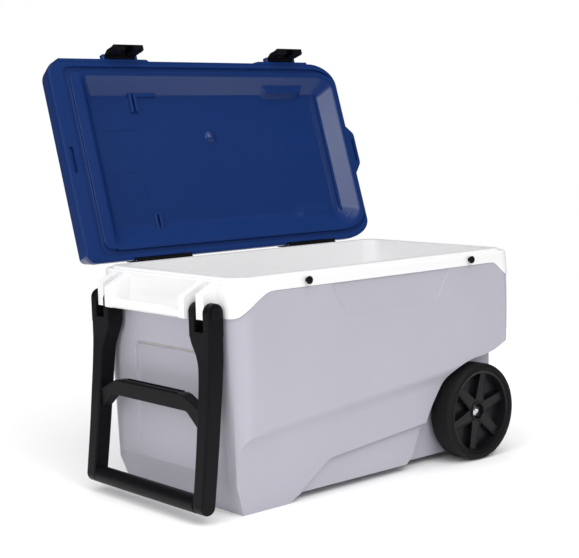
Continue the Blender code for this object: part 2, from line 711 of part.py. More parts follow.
def finish_lid(item, name, look, pivot=None, smooth=40):
    finish(item, name, look, pivot or hinge_point(), -LID_OPEN_ANGLE, smooth)


def knuckle_reliefs():
    centre = (0, HINGE_Y, HINGE_Z)
    return [rod("relief", "x", centre, KNUCKLE_RADIUS + 0.0015, x - HINGE_HALF - 0.002,
                x + HINGE_HALF + 0.002, 16) for x in HINGE_CENTRES]


def make_lid_shell():
    height = LID_HEIGHT
    rings = [lid_ring(0.030, height - SKIN), lid_ring(0.0215, height - 0.0055),
             lid_ring(0.0115, 0.040), lid_ring(SKIN, 0.0),
             lid_ring(0.0008, 0.0), lid_ring(0.0, 0.0012), lid_ring(0.0, 0.010),
             lid_ring(0.0085, 0.041), lid_ring(0.018, height - 0.0025), lid_ring(0.030, height)]
    shell = loft("lid_shell", rings)
    lands = [lid_box((0.014, 0.232), (0.415, 0.4262), (0.0, 0.014)),
             lid_box((0.541, 0.688), (0.415, 0.4262), (0.0, 0.014))]
    lugs = []
    for x in LATCH_CENTRES:
        for side in (-1, 1):
            low, high = sorted((x + side * (LATCH_HALF + 0.0006), x + side * (LATCH_HALF + 0.0070)))
            lugs.append(lid_box((low, high), (0.418, 0.4380), (0.0020, 0.0142)))
    tab_outline = [(0.760, 0.270), (0.7668, 0.268), (0.787, 0.2505), (0.787, 0.179),
                   (0.7668, 0.157), (0.760, 0.155)]
    tab = prism("tab", "z", [(x, HINGE_Y - f) for x, f in tab_outline], HINGE_Z, HINGE_Z + 0.0065)
    fused(shell, *lands, *lugs, tab)
    inner = loft("inner", [lid_ring(SKIN, -0.02), lid_ring(SKIN, 0.0), lid_ring(0.0115, 0.040)])
    slot = lid_box((0.7740, 0.7800), (0.185, 0.241), (-0.02, 0.03))
    bores = [rod("bore", "x", (0, HINGE_Y - LATCH_FORWARD, HINGE_Z + LATCH_RISE), LATCH_BORE,
                 x - 0.05, x + 0.05, 12) for x in LATCH_CENTRES]
    cut(shell, inner, slot, *bores, *knuckle_reliefs(), *lid_screw_bores())
    finish_lid(shell, "lid_shell", "blue")


def blend(first, second, share):
    return tuple(a + (b - a) * share for a, b in zip(first, second))


def tray_ring(bounds, grow, rise, corner=RIM_CORNER):
    """A ring of the tray or groove, whose wheel-end corners are cut back further."""
    small, front_x, front_y, rear_x, rear_y = corner
    radii = ((small, small), (front_x, front_y), (rear_x, rear_y), (small, small))
    return lid_ring(-grow, rise, bounds=bounds, radii=radii)


def make_lid_liner():
    edge = SKIN + GAP
    share = LINER_FLANGE / TRAY_DEPTH
    rings = [tray_ring(TRAY_FLOOR, 0.0, TRAY_DEPTH, FLOOR_CORNER),
             tray_ring(TRAY_RIM, 0.0, 0.0),
             tray_ring(GROOVE_INNER, 0.0, 0.0, GROOVE_CORNER),
             tray_ring(GROOVE_INNER, 0.0012, GROOVE_DEPTH, GROOVE_CORNER),
             tray_ring(GROOVE_OUTER, -0.0012, GROOVE_DEPTH, GROOVE_CORNER),
             tray_ring(GROOVE_OUTER, 0.0, 0.0, GROOVE_CORNER),
             lid_ring(edge, 0.0), lid_ring(edge + 0.0025, LINER_FLANGE),
             tray_ring(blend(TRAY_RIM, TRAY_FLOOR, share), TRAY_WALL, LINER_FLANGE),
             tray_ring(TRAY_FLOOR, TRAY_WALL, TRAY_DEPTH + SKIN, FLOOR_CORNER)]
    liner = loft("lid_liner", rings)
    fused(liner, *tray_features())
    slot = lid_box((-0.0025, 0.0065), (0.187, 0.241), (-0.01, 0.006))
    cut(liner, slot, *knuckle_reliefs())
    finish_lid(liner, "lid_liner", "blue")


def tray_features():
    """Raised shapes on the tray floor: corner ribs, the ridge by the end wall and the dimple."""
    deep = (TRAY_DEPTH - 0.006, TRAY_DEPTH + 0.001)
    parts = []
    for low, high in ((0.318, 0.358), (0.060, 0.100)):
        parts.append(lid_box((0.168, 0.173), (low, high), deep))
        parts.append(lid_box((0.180, 0.185), (low, high), deep))
    parts.append(lid_box((0.688, 0.693), (0.078, 0.350), deep))
    parts.append(lid_box((0.698, 0.704), (0.078, 0.350), deep))
    centre = (0.369, HINGE_Y - 0.260, 0)
    floor = HINGE_Z + TRAY_DEPTH
    dome = [(0.014, floor + 0.001), (0.013, floor - 0.003), (0.008, floor - 0.006),
            (0.003, floor - 0.007)]
    parts.append(turned("dimple", "z", centre, dome))
    return parts


def make_lid_insulation():
    clearance = 0.002
    low = LINER_FLANGE + clearance
    wall = 0.013
    rings = [tray_ring(TRAY_FLOOR, wall, TRAY_DEPTH + SKIN + clearance, FLOOR_CORNER),
             tray_ring(blend(TRAY_RIM, TRAY_FLOOR, low / TRAY_DEPTH), wall, low),
             lid_ring(0.0130, low), lid_ring(0.0190, 0.040),
             lid_ring(0.0340, LID_HEIGHT - SKIN - 2 * GAP)]
    finish_lid(loft("lid_foam", rings), "lid_insulation", "foam")


# ---------------------------------------------------------------- hinges

def along_x(name, outline, x):
    """A section of (forward distance, rise) in lid terms, extruded along the tub."""
    return prism(name, "x", [(HINGE_Y - f, HINGE_Z + r) for f, r in outline], *x)


def make_hinge(name, centre):
    pin = (0, HINGE_Y, HINGE_Z)
    bore = HINGE_PIN_BORE
    end = HINGE_HALF - 0.002
    middle = 0.030

    plate_y = (TUB_WIDTH + GAP, TUB_WIDTH + 0.0029)
    tub_leaf = block("leaf", (centre - end, centre + end), plate_y, (0.396, 0.430))
    for low, high in ((-end, -middle), (middle, end)):
        reach = (centre + low, centre + high)
        web = block("web", reach, (TUB_WIDTH + GAP, HINGE_Y), (0.4262, 0.4310))
        fused(tub_leaf, web, rod("knuckle", "x", pin, KNUCKLE_RADIUS, *reach, 16))
        rib_x = centre + (low + high) / 2
        rib = prism("stop", "x", [(0.4250, 0.4268), (0.4250, 0.400), (0.4300, 0.400),
                                  (0.4440, 0.4200), (0.4440, 0.4266)], rib_x - 0.004, rib_x + 0.004)
        fused(tub_leaf, rib)
    cut(tub_leaf, rod("bore", "x", pin, bore, centre - 0.1, centre + 0.1, 12),
        *[rod("screw_hole", "y", (x, 0, COLLAR_SCREW_Z), SCREW_BORE, 0.40, 0.45, 12)
          for x in screw_places(centre)])
    finish(tub_leaf, f"hinge_tub_leaf_{name}", "black")

    section = [(0.0011, 0.0062), (0.0011, 0.0100), (0.0077, 0.0345), (0.0047, 0.0353),
               (-0.0021, 0.0105), (-0.0024, 0.0062)]
    web = [(-0.0040, 0.0008), (0.0008, 0.0030), (0.0008, 0.0080), (-0.0022, 0.0080)]
    reach = (centre - middle + GAP * 2, centre + middle - GAP * 2)
    lid_leaf = along_x("leaf", section, (centre - end, centre + end))
    fused(lid_leaf, along_x("web", web, reach), rod("knuckle", "x", pin, KNUCKLE_RADIUS, *reach, 16))
    cut(lid_leaf, rod("bore", "x", pin, bore, centre - 0.1, centre + 0.1, 12),
        *[rod("screw_hole", "y", (x, 0, HINGE_Z + LID_SCREW_RISE), SCREW_BORE, 0.40, 0.45, 12)
          for x in screw_places(centre)])
    finish_lid(lid_leaf, f"hinge_lid_leaf_{name}", "black")

    pin_rod = rod("pin", "x", pin, bore - GAP, centre - end - 0.0008, centre + end + 0.0008, 12)
    finish(pin_rod, f"hinge_pin_{name}", "steel", Vector((centre, HINGE_Y, HINGE_Z)))
    make_hinge_screws(name, centre)


def screw_places(centre):
    return (centre - SCREW_SPREAD, centre + SCREW_SPREAD)


def collar_screw_bores():
    return [rod("bore", "y", (x, 0, COLLAR_SCREW_Z), SCREW_BORE, 0.410, 0.45, 12)
            for centre in HINGE_CENTRES for x in screw_places(centre)]


def lid_screw_bores():
    return [rod("bore", "y", (x, 0, HINGE_Z + LID_SCREW_RISE), SCREW_BORE, 0.410, 0.45, 12)
            for centre in HINGE_CENTRES for x in screw_places(centre)]


def make_hinge_screws(name, centre):
    for number, x in enumerate(screw_places(centre), 1):
        tub_profile = [(0.0014, 0.4191), (0.0018, 0.4200), (0.0018, 0.4268), (0.0036, 0.4268),
                       (0.0030, 0.4282), (0.0012, 0.4287)]
        screw = turned("screw", "y", (x, 0, COLLAR_SCREW_Z), tub_profile, 12)
        finish(screw, f"tub_hinge_screw_{name}_{number}", "steel")
        lid_profile = [(0.0014, HINGE_Y - 0.0120), (0.0018, HINGE_Y - 0.0110), (0.0018, HINGE_Y),
                       (0.0036, HINGE_Y), (0.0030, HINGE_Y + 0.0014), (0.0012, HINGE_Y + 0.0019)]
        screw = turned("screw", "y", (x, 0, HINGE_Z + LID_SCREW_RISE), lid_profile, 12)
        finish_lid(screw, f"lid_hinge_screw_{name}_{number}", "steel")


# ---------------------------------------------------------------- latches

def stud_bores():
    return [rod("bore", "y", (x, 0, STUD_HEIGHT), STUD_BORE, -0.02, 0.008, 16) for x in LATCH_CENTRES]


def make_stud(name, x):
    profile = [(0.0040, 0.0048), (0.0040, -0.0042), (0.0068, -0.0046), (0.0075, -0.0058),
               (0.0075, -0.0078), (0.0062, -0.0092), (0.0030, -0.0096)]
    finish(turned("stud", "y", (x, 0, STUD_HEIGHT), profile, 16), f"latch_stud_{name}", "black")


def latch_pivot(x):
    return Vector((x, HINGE_Y - LATCH_FORWARD, HINGE_Z + LATCH_RISE))


def make_latch(name, x):
    """A grip plate on a barrel, with an open channel down its back that clears the stud."""
    barrel = arc((LATCH_FORWARD, LATCH_RISE), 0.0050, 0.0050, 0, 180, 8)
    back = [(0.4292, 0.0040), (0.4325, 0.0020), (0.4325, -0.0040)]
    solid_back = [(0.4325, -0.0290), (0.4338, -0.0350), (0.4425, -0.0350)]
    open_back = [(0.4425, -0.0040), (0.4425, -0.0200), (0.4425, -0.0350)]
    front = [(0.4450, -0.0350), (0.4458, -0.0320), (0.4440, -0.0260), (0.4440, -0.0070), (0.4385, 0.0040)]
    rings = []
    for offset, middle in ((-LATCH_HALF, solid_back), (-LATCH_CHANNEL, solid_back), (-LATCH_CHANNEL, open_back),
                           (LATCH_CHANNEL, open_back), (LATCH_CHANNEL, solid_back), (LATCH_HALF, solid_back)):
        rings.append([(x + offset, HINGE_Y - f, HINGE_Z + r) for f, r in barrel + back + middle + front])
    latch = cleaned(loft("latch", rings))
    pivot = latch_pivot(x)
    cut(latch, rod("bore", "x", pivot, LATCH_BORE, x - 0.1, x + 0.1, 12))
    finish_lid(latch, f"latch_{name}", "black", pivot)
    pin = rod("pin", "x", pivot, LATCH_BORE - GAP, x - LATCH_HALF - 0.0062, x + LATCH_HALF + 0.0062, 12)
    finish_lid(pin, f"latch_pin_{name}", "steel", pivot)


# ---------------------------------------------------------------- whole object

def main():
    clear_scene()
    make_tub_shell()
    make_insulation()
    make_liner()
    make_lid_shell()
    make_lid_liner()
    make_lid_insulation()
    for name, centre in zip(("left", "right"), HINGE_CENTRES):
        make_hinge(name, centre)
    for name, x in zip(("left", "right"), LATCH_CENTRES):
        make_latch(name, x)
        make_stud(name, x)
    make_handle()
    make_handle_pins()
    for index, side in enumerate(("front", "rear")):
        make_wheel(side, index == 1)
        make_axle_parts(side, index)
    make_drain()


main()
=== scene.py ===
"""Looks for the wheeled cooler: finely moulded plastics, ribbed tyres and a soft white studio.

Shapes are drawn as in the CAD, from the collar's handle-end, latch-side corner, with the lid
closed. place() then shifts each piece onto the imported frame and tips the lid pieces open.
"""
import math

import bmesh
import bpy
from mathutils import Matrix, Vector


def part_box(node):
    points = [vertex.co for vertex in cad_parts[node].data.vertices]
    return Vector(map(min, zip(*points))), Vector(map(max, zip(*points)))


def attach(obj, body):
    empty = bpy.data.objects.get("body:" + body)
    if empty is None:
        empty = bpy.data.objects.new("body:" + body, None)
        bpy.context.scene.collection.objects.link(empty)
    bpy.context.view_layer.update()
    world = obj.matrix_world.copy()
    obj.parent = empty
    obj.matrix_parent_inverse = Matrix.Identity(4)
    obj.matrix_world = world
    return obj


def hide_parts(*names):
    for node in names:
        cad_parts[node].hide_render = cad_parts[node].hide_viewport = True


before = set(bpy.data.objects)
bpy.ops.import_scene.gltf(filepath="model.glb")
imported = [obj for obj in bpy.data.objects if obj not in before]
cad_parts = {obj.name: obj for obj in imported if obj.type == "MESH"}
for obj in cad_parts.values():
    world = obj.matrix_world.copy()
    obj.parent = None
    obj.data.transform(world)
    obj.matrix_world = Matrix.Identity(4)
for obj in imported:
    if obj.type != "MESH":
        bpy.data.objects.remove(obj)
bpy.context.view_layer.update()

# Camera, in the model's frame
CAMERA_PLACE = Vector((-1.82807, -2.09626, 0.69872))
CAMERA_YAW = math.radians(41.51)
CAMERA_PITCH = math.radians(6.54)
CAMERA_ROLL = math.radians(-1.25)
LENS = 84.29
SENSOR = 36.0

# Tub
TUB_LENGTH = 0.751
TUB_WIDTH = 0.4236
CORNER_RADIUS = 0.042
WHEEL_CORNER_RADIUS = 0.022
WHEEL_CORNER_FROM = 0.25
SEAM_HEIGHT = 0.4055
RIM_HEIGHT = 0.428
LIP_HEIGHT = 0.4322
SKIN = 0.003
GAP = 0.0003
WALL_DRAFT = 0.026
WALL_INSET = 0.002
END_SEAM_HANDLE = 0.361
END_SEAM_WHEEL = 0.376
LEDGE_TOP = ((-0.05, 0.136), (0.09, 0.154), (0.80, 0.2185))
LEDGE_BOTTOM = (0.121, 0.134, 0.1965)
LEDGE_INNER_Y = 0.022
TOE_Y = 0.037
FOLD_HEIGHT = 0.077
UNDERSIDE_HEIGHT = 0.0145
END_FACE_X = 0.742
ARCH_DEPTH = 0.060
WHEEL_X = 0.645
WHEEL_RADIUS = 0.100
AXLE_RADIUS = 0.006
FAR = 0.05

# Collar, towers and the cold space
COLLAR_WALL = 0.004
COLLAR_UNDERSIDE = 0.4245
CAVITY_FLOOR = 0.048
TOWER_SPANS = ((0.048, 0.108), (0.3156, 0.3756))
TOWER_FACE_X = -0.0445
TOWER_BLOCK_X = -0.0320
TOWER_SLOT = 0.0195
CARRY_BAR = (-0.034, 0.3700)
STUD_HEIGHT = 0.418
STUD_BORE = 0.0043
SCREW_BORE = 0.0021
COLLAR_SCREW_Z = 0.411
LID_SCREW_RISE = 0.022
SCREW_SPREAD = 0.018
DRAIN_Z = 0.069
DRAIN_BORE = 0.0126

# Tow handle
PIVOT_X, PIVOT_Z = -0.020, 0.374
EAR_RADIUS = 0.0175
ARM_OUTER_Y = 0.030
ARM_DEPTH = 0.0170
TOE_RADIUS = 0.0160
BRACE_TOP = 0.2245
BRACE_RIB = 0.0020
GRIP_X, GRIP_Z = -0.0465, 0.034
GRIP_RADIUS = 0.0163
GRIP_CORE = 0.008
PIN_BORE = 0.0054

# Wheels
TYRE_SPAN = (-0.006, 0.052)
TYRE_BORE = 0.086
DISH_RADIUS = 0.0800
HUB_RADIUS = 0.0205
HUB_RECESS = 0.0160
HUB_FLOOR = 0.0163
WEB = (0.0190, 0.0225)
SPOKES = 6
SPOKE_TURN = math.radians(17.0)
TREAD_BLOCKS = 36
TREAD_LINES = (0.27, 0.42, 0.58, 0.73)
TREAD_GROOVE = 0.0006
TREAD_EDGE = 0.0997
TREAD_LEVELS = 40
TYRE_STEPS = 288
RIM_STEPS = 128

# Lid, drawn closed
HINGE_Y = 0.4314
HINGE_Z = 0.4326
LID_OPEN_ANGLE = math.radians(107.56)
LID_X = (-0.0137, 0.767)
LID_FORWARD = (0.0014, 0.4225)
LID_HEIGHT = 0.056
LID_CORNERS = ((0.030, 0.035), (0.076, 0.052), (0.085, 0.044), (0.020, 0.020))
LINER_FLANGE = 0.0090
GROOVE_OUTER = (0.0200, 0.7620, 0.0140, 0.4095)
GROOVE_INNER = (0.0340, 0.7575, 0.0270, 0.3985)
GROOVE_DEPTH = 0.0055
TRAY_RIM = (0.0600, 0.7545, 0.0310, 0.3940)
TRAY_FLOOR = (0.0860, 0.7040, 0.0750, 0.3530)
TRAY_DEPTH = 0.028
FLOOR_CORNER = (0.010, 0.020, 0.016, 0.020, 0.016)
RIM_CORNER = (0.014, 0.056, 0.030, 0.085, 0.045)
GROOVE_CORNER = (0.018, 0.066, 0.040, 0.085, 0.044)
HINGE_CENTRES = (0.1685, 0.5755)
HINGE_HALF = 0.071
KNUCKLE_RELIEF = 0.0060

# Latches, drawn closed
LATCH_CENTRES = (0.1685, 0.612)
LATCH_HALF = 0.0365
LATCH_FORWARD = 0.4325
LATCH_RISE = 0.0085
LATCH_BORE = 0.0028
LATCH_CHANNEL = 0.0105

CORNER_STEPS = 12

# Studio: brightness of the white backdrop, of the room that lights the object, and of the
# same room in reflections
BACKDROP_LEVEL = 1.0
ROOM_LEVEL = 0.62
MIRRORED_ROOM_LEVEL = 0.06
FLOOR_REACH = 1.7


# ---------------------------------------------------------------- materials

def node(tree, kind, **values):
    """A shader node with its named inputs set."""
    item = tree.nodes.new(kind)
    for name, value in values.items():
        item.inputs[name].default_value = value
    return item


def moulded(name, colour, roughness, grain=900.0, bump=0.05, variation=0.04, shine=0.5):
    """Moulded plastic: fine grain, faint flow marks in the colour and uneven gloss."""
    finish = bpy.data.materials.new(name)
    finish.use_nodes = True
    tree = finish.node_tree
    shader = tree.nodes["Principled BSDF"]
    shader.inputs["Specular IOR Level"].default_value = shine
    place = tree.nodes.new("ShaderNodeTexCoord").outputs["Object"]

    clouds = node(tree, "ShaderNodeTexNoise", Scale=7.0, Detail=3.0)
    tree.links.new(place, clouds.inputs["Vector"])
    tint = tree.nodes.new("ShaderNodeMix")
    tint.data_type = "RGBA"
    tint.inputs["A"].default_value = (*[c * (1.0 - variation) for c in colour], 1.0)
    tint.inputs["B"].default_value = (*[min(c * (1.0 + variation), 1.0) for c in colour], 1.0)
    tree.links.new(clouds.outputs["Fac"], tint.inputs["Factor"])
    tree.links.new(tint.outputs["Result"], shader.inputs["Base Color"])

    specks = node(tree, "ShaderNodeTexNoise", Scale=grain, Detail=2.0, Roughness=0.6)
    tree.links.new(place, specks.inputs["Vector"])
    blend = tree.nodes.new("ShaderNodeMix")
    blend.inputs["Factor"].default_value = 0.5
    tree.links.new(clouds.outputs["Fac"], blend.inputs["A"])
    tree.links.new(specks.outputs["Fac"], blend.inputs["B"])
    gloss = tree.nodes.new("ShaderNodeMapRange")
    gloss.inputs["To Min"].default_value = max(roughness - 0.08, 0.05)
    gloss.inputs["To Max"].default_value = min(roughness + 0.08, 1.0)
    tree.links.new(blend.outputs["Result"], gloss.inputs["Value"])
    tree.links.new(gloss.outputs["Result"], shader.inputs["Roughness"])

    relief = node(tree, "ShaderNodeBump", Strength=bump, Distance=0.0004)
    tree.links.new(specks.outputs["Fac"], relief.inputs["Height"])
    tree.links.new(relief.outputs["Normal"], shader.inputs["Normal"])
    return finish


def metal(name, colour, roughness):
    """Zinc plate: fine streaks in the gloss and faint cloudy patches."""
    finish = moulded(name, colour, roughness, grain=1600.0, bump=0.1, variation=0.1)
    finish.node_tree.nodes["Principled BSDF"].inputs["Metallic"].default_value = 1.0
    return finish


GREY = moulded("grey_polyethylene", (0.412, 0.404, 0.462), 0.50, bump=0.25, shine=0.35)
WHITE = moulded("white_polyethylene", (0.82, 0.82, 0.825), 0.33, bump=0.10, variation=0.01)
NAVY = moulded("navy_polyethylene", (0.0022, 0.025, 0.135), 0.30, bump=0.22, shine=0.50)
BLACK = moulded("black_polypropylene", (0.0050, 0.0046, 0.0058), 0.42, bump=0.30, variation=0.15,
                shine=0.11)
RIM_BLACK = moulded("rim_polypropylene", (0.0080, 0.0078, 0.0093), 0.34, bump=0.20, variation=0.15,
                    shine=0.16)
TYRE = moulded("tyre_rubber", (0.010, 0.010, 0.0105), 0.62, grain=500.0, bump=0.5, variation=0.2,
               shine=0.14)
SEAL = moulded("seal_rubber", (0.020, 0.020, 0.020), 0.70, bump=0.4, variation=0.1)
FOAM = moulded("insulating_foam", (0.72, 0.62, 0.40), 0.9, grain=350.0, bump=0.8, variation=0.08)
STEEL = metal("zinc_plated_steel", (0.60, 0.61, 0.63), 0.30)


# ---------------------------------------------------------------- drawing helpers

def solid(name, shape):
    """Wrap a bmesh as an object with every face turned outward."""
    bmesh.ops.remove_doubles(shape, verts=shape.verts, dist=1e-6)
    bmesh.ops.recalc_face_normals(shape, faces=shape.faces)
    mesh = bpy.data.meshes.new(name)
    shape.to_mesh(mesh)
    shape.free()
    item = bpy.data.objects.new(name, mesh)
    bpy.context.scene.collection.objects.link(item)
    return item


def loft(name, rings, ring_closed=False):
    """Skin a list of rings with equal point counts, capped unless the list closes on itself."""
    shape = bmesh.new()
    loops = [[shape.verts.new(point) for point in ring] for ring in rings]
    pairs = list(zip(loops, loops[1:]))
    if ring_closed:
        pairs.append((loops[-1], loops[0]))
    count = len(loops[0])
    for low, high in pairs:
        for i in range(count):
            j = (i + 1) % count
            shape.faces.new((low[i], low[j], high[j], high[i]))
    if not ring_closed:
        shape.faces.new(loops[0])
        shape.faces.new(loops[-1])
    return solid(name, shape)


def arc(centre, radius_a, radius_b, start, end, steps):
    """Points on an elliptical arc, angles in degrees."""
    points = []
    for i in range(steps + 1):
        angle = math.radians(start + (end - start) * i / steps)
        points.append((centre[0] + radius_a * math.cos(angle), centre[1] + radius_b * math.sin(angle)))
    return points


def rounded_outline(x0, x1, y0, y1, radii, steps=CORNER_STEPS):
    """A rectangle with corner radii (rx, ry) in the order x0y0, x1y0, x1y1, x0y1."""
    (ax, ay), (bx, by), (cx, cy), (dx, dy) = radii
    return (arc((x0 + ax, y0 + ay), ax, ay, 180, 270, steps)
            + arc((x1 - bx, y0 + by), bx, by, 270, 360, steps)
            + arc((x1 - cx, y1 - cy), cx, cy, 0, 90, steps)
            + arc((x0 + dx, y1 - dy), dx, dy, 90, 180, steps))


def rounded_ring(x0, x1, y0, y1, radius, z, wheel_radius=None):
    """A level rounded rectangle; the corners at the wheel end may have their own radius."""
    tight = radius if wheel_radius is None else wheel_radius
    radii = ((radius, radius), (tight, tight), (tight, tight), (radius, radius))
    return [Vector((x, y, z)) for x, y in rounded_outline(x0, x1, y0, y1, radii)]


def eased(points, reach, steps=5, closed=True):
    """An outline with each corner turned into a curve that starts a given reach before it."""
    result = []
    count = len(points)
    for i in range(count):
        here = Vector(points[i])
        if not closed and i in (0, count - 1):
            result.append(tuple(here))
            continue
        before, after = Vector(points[i - 1]), Vector(points[(i + 1) % count])
        start = here + (before - here) * min(reach / (before - here).length, 0.45)
        end = here + (after - here) * min(reach / (after - here).length, 0.45)
        for k in range(steps + 1):
            t = k / steps
            result.append(tuple(start * (1 - t) ** 2 + here * 2 * t * (1 - t) + end * t * t))
    return result


def grown(outline, distance):
    """An outline moved outward by a distance, with mitred corners."""
    count = len(outline)
    area = sum(outline[i - 1][0] * outline[i][1] - outline[i][0] * outline[i - 1][1]
               for i in range(count))
    side = 1.0 if area > 0 else -1.0
    moved = []
    for i in range(count):
        here = Vector(outline[i])
        before = (here - Vector(outline[i - 1])).normalized()
        after = (Vector(outline[(i + 1) % count]) - here).normalized()
        normal_a = Vector((before.y, -before.x)) * side
        normal_b = Vector((after.y, -after.x)) * side
        mitre = (normal_a + normal_b).normalized()
        moved.append(tuple(here + mitre * (distance / max(mitre.dot(normal_a), 0.4))))
    return moved


AXES = {"x": (1, 2, 0), "y": (0, 2, 1), "z": (0, 1, 2)}


def level_ring(axis, outline, level):
    """An outline in the two other axes, placed at a level along one axis."""
    first, second, along = AXES[axis]
    ring = []
    for a, b in outline:
        point = Vector((0.0, 0.0, 0.0))
        point[first], point[second], point[along] = a, b, level
        ring.append(point)
    return ring


def prism(name, axis, outline, low, high):
    return loft(name, [level_ring(axis, outline, low), level_ring(axis, outline, high)])


def soft_prism(name, axis, outline, low, high, radius, steps=4):
    """A prism whose two end faces have rounded edges."""
    rings = []
    for end, inward in ((low, 1.0), (high, -1.0)):
        part = []
        for k in range(steps + 1):
            angle = math.pi / 2 * k / steps
            shrink = radius * (1.0 - math.sin(angle))
            part.append(level_ring(axis, grown(outline, -shrink),
                                   end + inward * radius * (1.0 - math.cos(angle))))
        rings += part if inward > 0 else part[::-1]
    return loft(name, rings)


def block(name, x, y, z):
    return prism(name, "z", [(x[0], y[0]), (x[1], y[0]), (x[1], y[1]), (x[0], y[1])], *z)


def turned(name, axis, centre, profile, steps=48, hollow=False):
    """A profile of (radius, distance along the axis) turned about the axis."""
    first, second, along = AXES[axis]
    rings = []
    for radius, level in profile:
        ring = []
        for i in range(steps):
            angle = 2 * math.pi * (i + 0.5) / steps
            point = Vector((0.0, 0.0, 0.0))
            point[first] = centre[first] + radius * math.cos(angle)
            point[second] = centre[second] + radius * math.sin(angle)
            point[along] = level
            ring.append(point)
        rings.append(ring)
    return loft(name, rings, ring_closed=hollow)


def rod(name, axis, centre, radius, low, high, steps=32):
    return turned(name, axis, centre, [(radius, low), (radius, high)], steps)


def combined(target, tools, operation):
    """Apply one Boolean per tool to the target and drop the tools."""
    for tool in tools:
        change = target.modifiers.new(tool.name, "BOOLEAN")
        change.operation = operation
        change.solver = "MANIFOLD"
        change.object = tool
    bpy.context.view_layer.update()
    depsgraph = bpy.context.evaluated_depsgraph_get()
    result = bpy.data.meshes.new_from_object(target.evaluated_get(depsgraph))
    target.modifiers.clear()
    target.data = result
    for tool in tools:
        bpy.data.objects.remove(tool, do_unlink=True)
    shape = bmesh.new()
    shape.from_mesh(result)
    bmesh.ops.remove_doubles(shape, verts=shape.verts, dist=2e-6)
    bmesh.ops.dissolve_degenerate(shape, edges=shape.edges, dist=2e-6)
    shape.to_mesh(result)
    shape.free()
    return target


def cut(target, *tools):
    return combined(target, list(tools), "DIFFERENCE")


def fused(target, *tools):
    return combined(target, list(tools), "UNION")


def bevelled(item, width, segments=3, sharp=30.0):
    """Round the hard edges of a simple solid."""
    bevel = item.modifiers.new("bevel", "BEVEL")
    bevel.width = width
    bevel.segments = segments
    bevel.limit_method = "ANGLE"
    bevel.angle_limit = math.radians(sharp)
    bpy.context.view_layer.update()
    result = bpy.data.meshes.new_from_object(item.evaluated_get(bpy.context.evaluated_depsgraph_get()))
    item.modifiers.clear()
    item.data = result
    return item


def mirrored_y(points):
    """The same points on the hinge side of the tub."""
    return [(TUB_WIDTH - y, *rest) for y, *rest in points]


def across(near, far):
    """A span measured from the latch side, and its mirror image on the hinge side."""
    return ((near, far), (TUB_WIDTH - far, TUB_WIDTH - near))


# ---------------------------------------------------------------- placing

def frame_shift():
    """From the drawing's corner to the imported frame, read off the liner's packed box."""
    low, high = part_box("tub_liner")
    return Vector((high[0] - (TUB_LENGTH - 0.0002), (low[1] + high[1] - TUB_WIDTH) / 2, 0.0))


SHIFT = frame_shift()


def hinge_point():
    return Vector((0.0, HINGE_Y, HINGE_Z))


def place(item, name, finish, slot, body, replaces=(), lid=False, sharp=32.0):
    """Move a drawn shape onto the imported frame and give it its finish, body and shading."""
    item.name = name
    item.data.name = name
    if lid:
        turn = Matrix.Rotation(-LID_OPEN_ANGLE, 4, "X")
        item.data.transform(Matrix.Translation(hinge_point()) @ turn @ Matrix.Translation(-hinge_point()))
    item.data.transform(Matrix.Translation(SHIFT))
    item.data.materials.clear()
    item.data.materials.append(finish)
    item.data.shade_smooth()
    item.data.set_sharp_from_angle(angle=math.radians(sharp))
    normals = item.modifiers.new("normals", "WEIGHTED_NORMAL")
    normals.keep_sharp = True
    normals.weight = 80
    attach(item, body)
    if replaces:
        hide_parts(*replaces)
    return item


# ---------------------------------------------------------------- tub

def wall_inset(z):
    return WALL_INSET + (SEAM_HEIGHT - z) * WALL_DRAFT


def wheel_corner(z):
    """Radius of the tub's corners at the wheel end, tightening below the rim."""
    share = min(max((z - WHEEL_CORNER_FROM) / (RIM_HEIGHT - WHEEL_CORNER_FROM), 0.0), 1.0)
    return WHEEL_CORNER_RADIUS + (CORNER_RADIUS - WHEEL_CORNER_RADIUS) * share ** 3


def front_seam():
    """Line between collar and tub on the long sides, from the handle end, as (x, z)."""
    line = [(-0.08, END_SEAM_HANDLE), (0.0125, END_SEAM_HANDLE), (0.0270, 0.373), (0.0510, 0.390),
            (0.0740, 0.4035), (0.0900, SEAM_HEIGHT), (0.690, SEAM_HEIGHT), (0.729, END_SEAM_WHEEL),
            (0.80, END_SEAM_WHEEL)]
    return eased(line, 0.010, closed=False)


def seam_prism(name, shift, level):
    line = [(x, z + shift) for x, z in front_seam()]
    return prism(name, "y", line + [(0.80, level), (-0.08, level)], -0.05, TUB_WIDTH + 0.05)


def arch_outline():
    """Edge of a wheel arch as (x, z), from the foot of the tub over the wheel."""
    curve = [(0.472, 0.020), (0.484, 0.034), (0.517, 0.107), (0.526, 0.128), (0.538, 0.148),
             (0.556, 0.176), (0.574, 0.193), (0.600, 0.205), (0.633, 0.213), (0.668, 0.216),
             (0.700, 0.223), (0.734, 0.238), (0.80, 0.245)]
    return eased(curve, 0.012, closed=False) + [(0.80, -0.05), (0.460, -0.05), (0.462, 0.012)]


def ledge_cutter(depth, hinge_side, reach):
    """Space under the sloping ledge that steps the long walls in, with its folds rounded."""
    rings = []
    for (x, top), bottom in zip(LEDGE_TOP, LEDGE_BOTTOM):
        above = top + 0.012
        section = [(-FAR, above), (wall_inset(above) - 0.0003, above), (wall_inset(top), top),
                   (LEDGE_INNER_Y, bottom), (TOE_Y, 0.0), (TOE_Y, -FAR), (-FAR, -FAR)]
        section = [(y + depth, z + depth) for y, z in section]
        if reach:
            folds = eased(section[1:5], reach, steps=6, closed=False)
            section = [section[0]] + folds + section[5:]
        if hinge_side:
            section = mirrored_y(section)
        rings.append([Vector((x, y, z)) for y, z in section])
    return loft("ledge", rings)


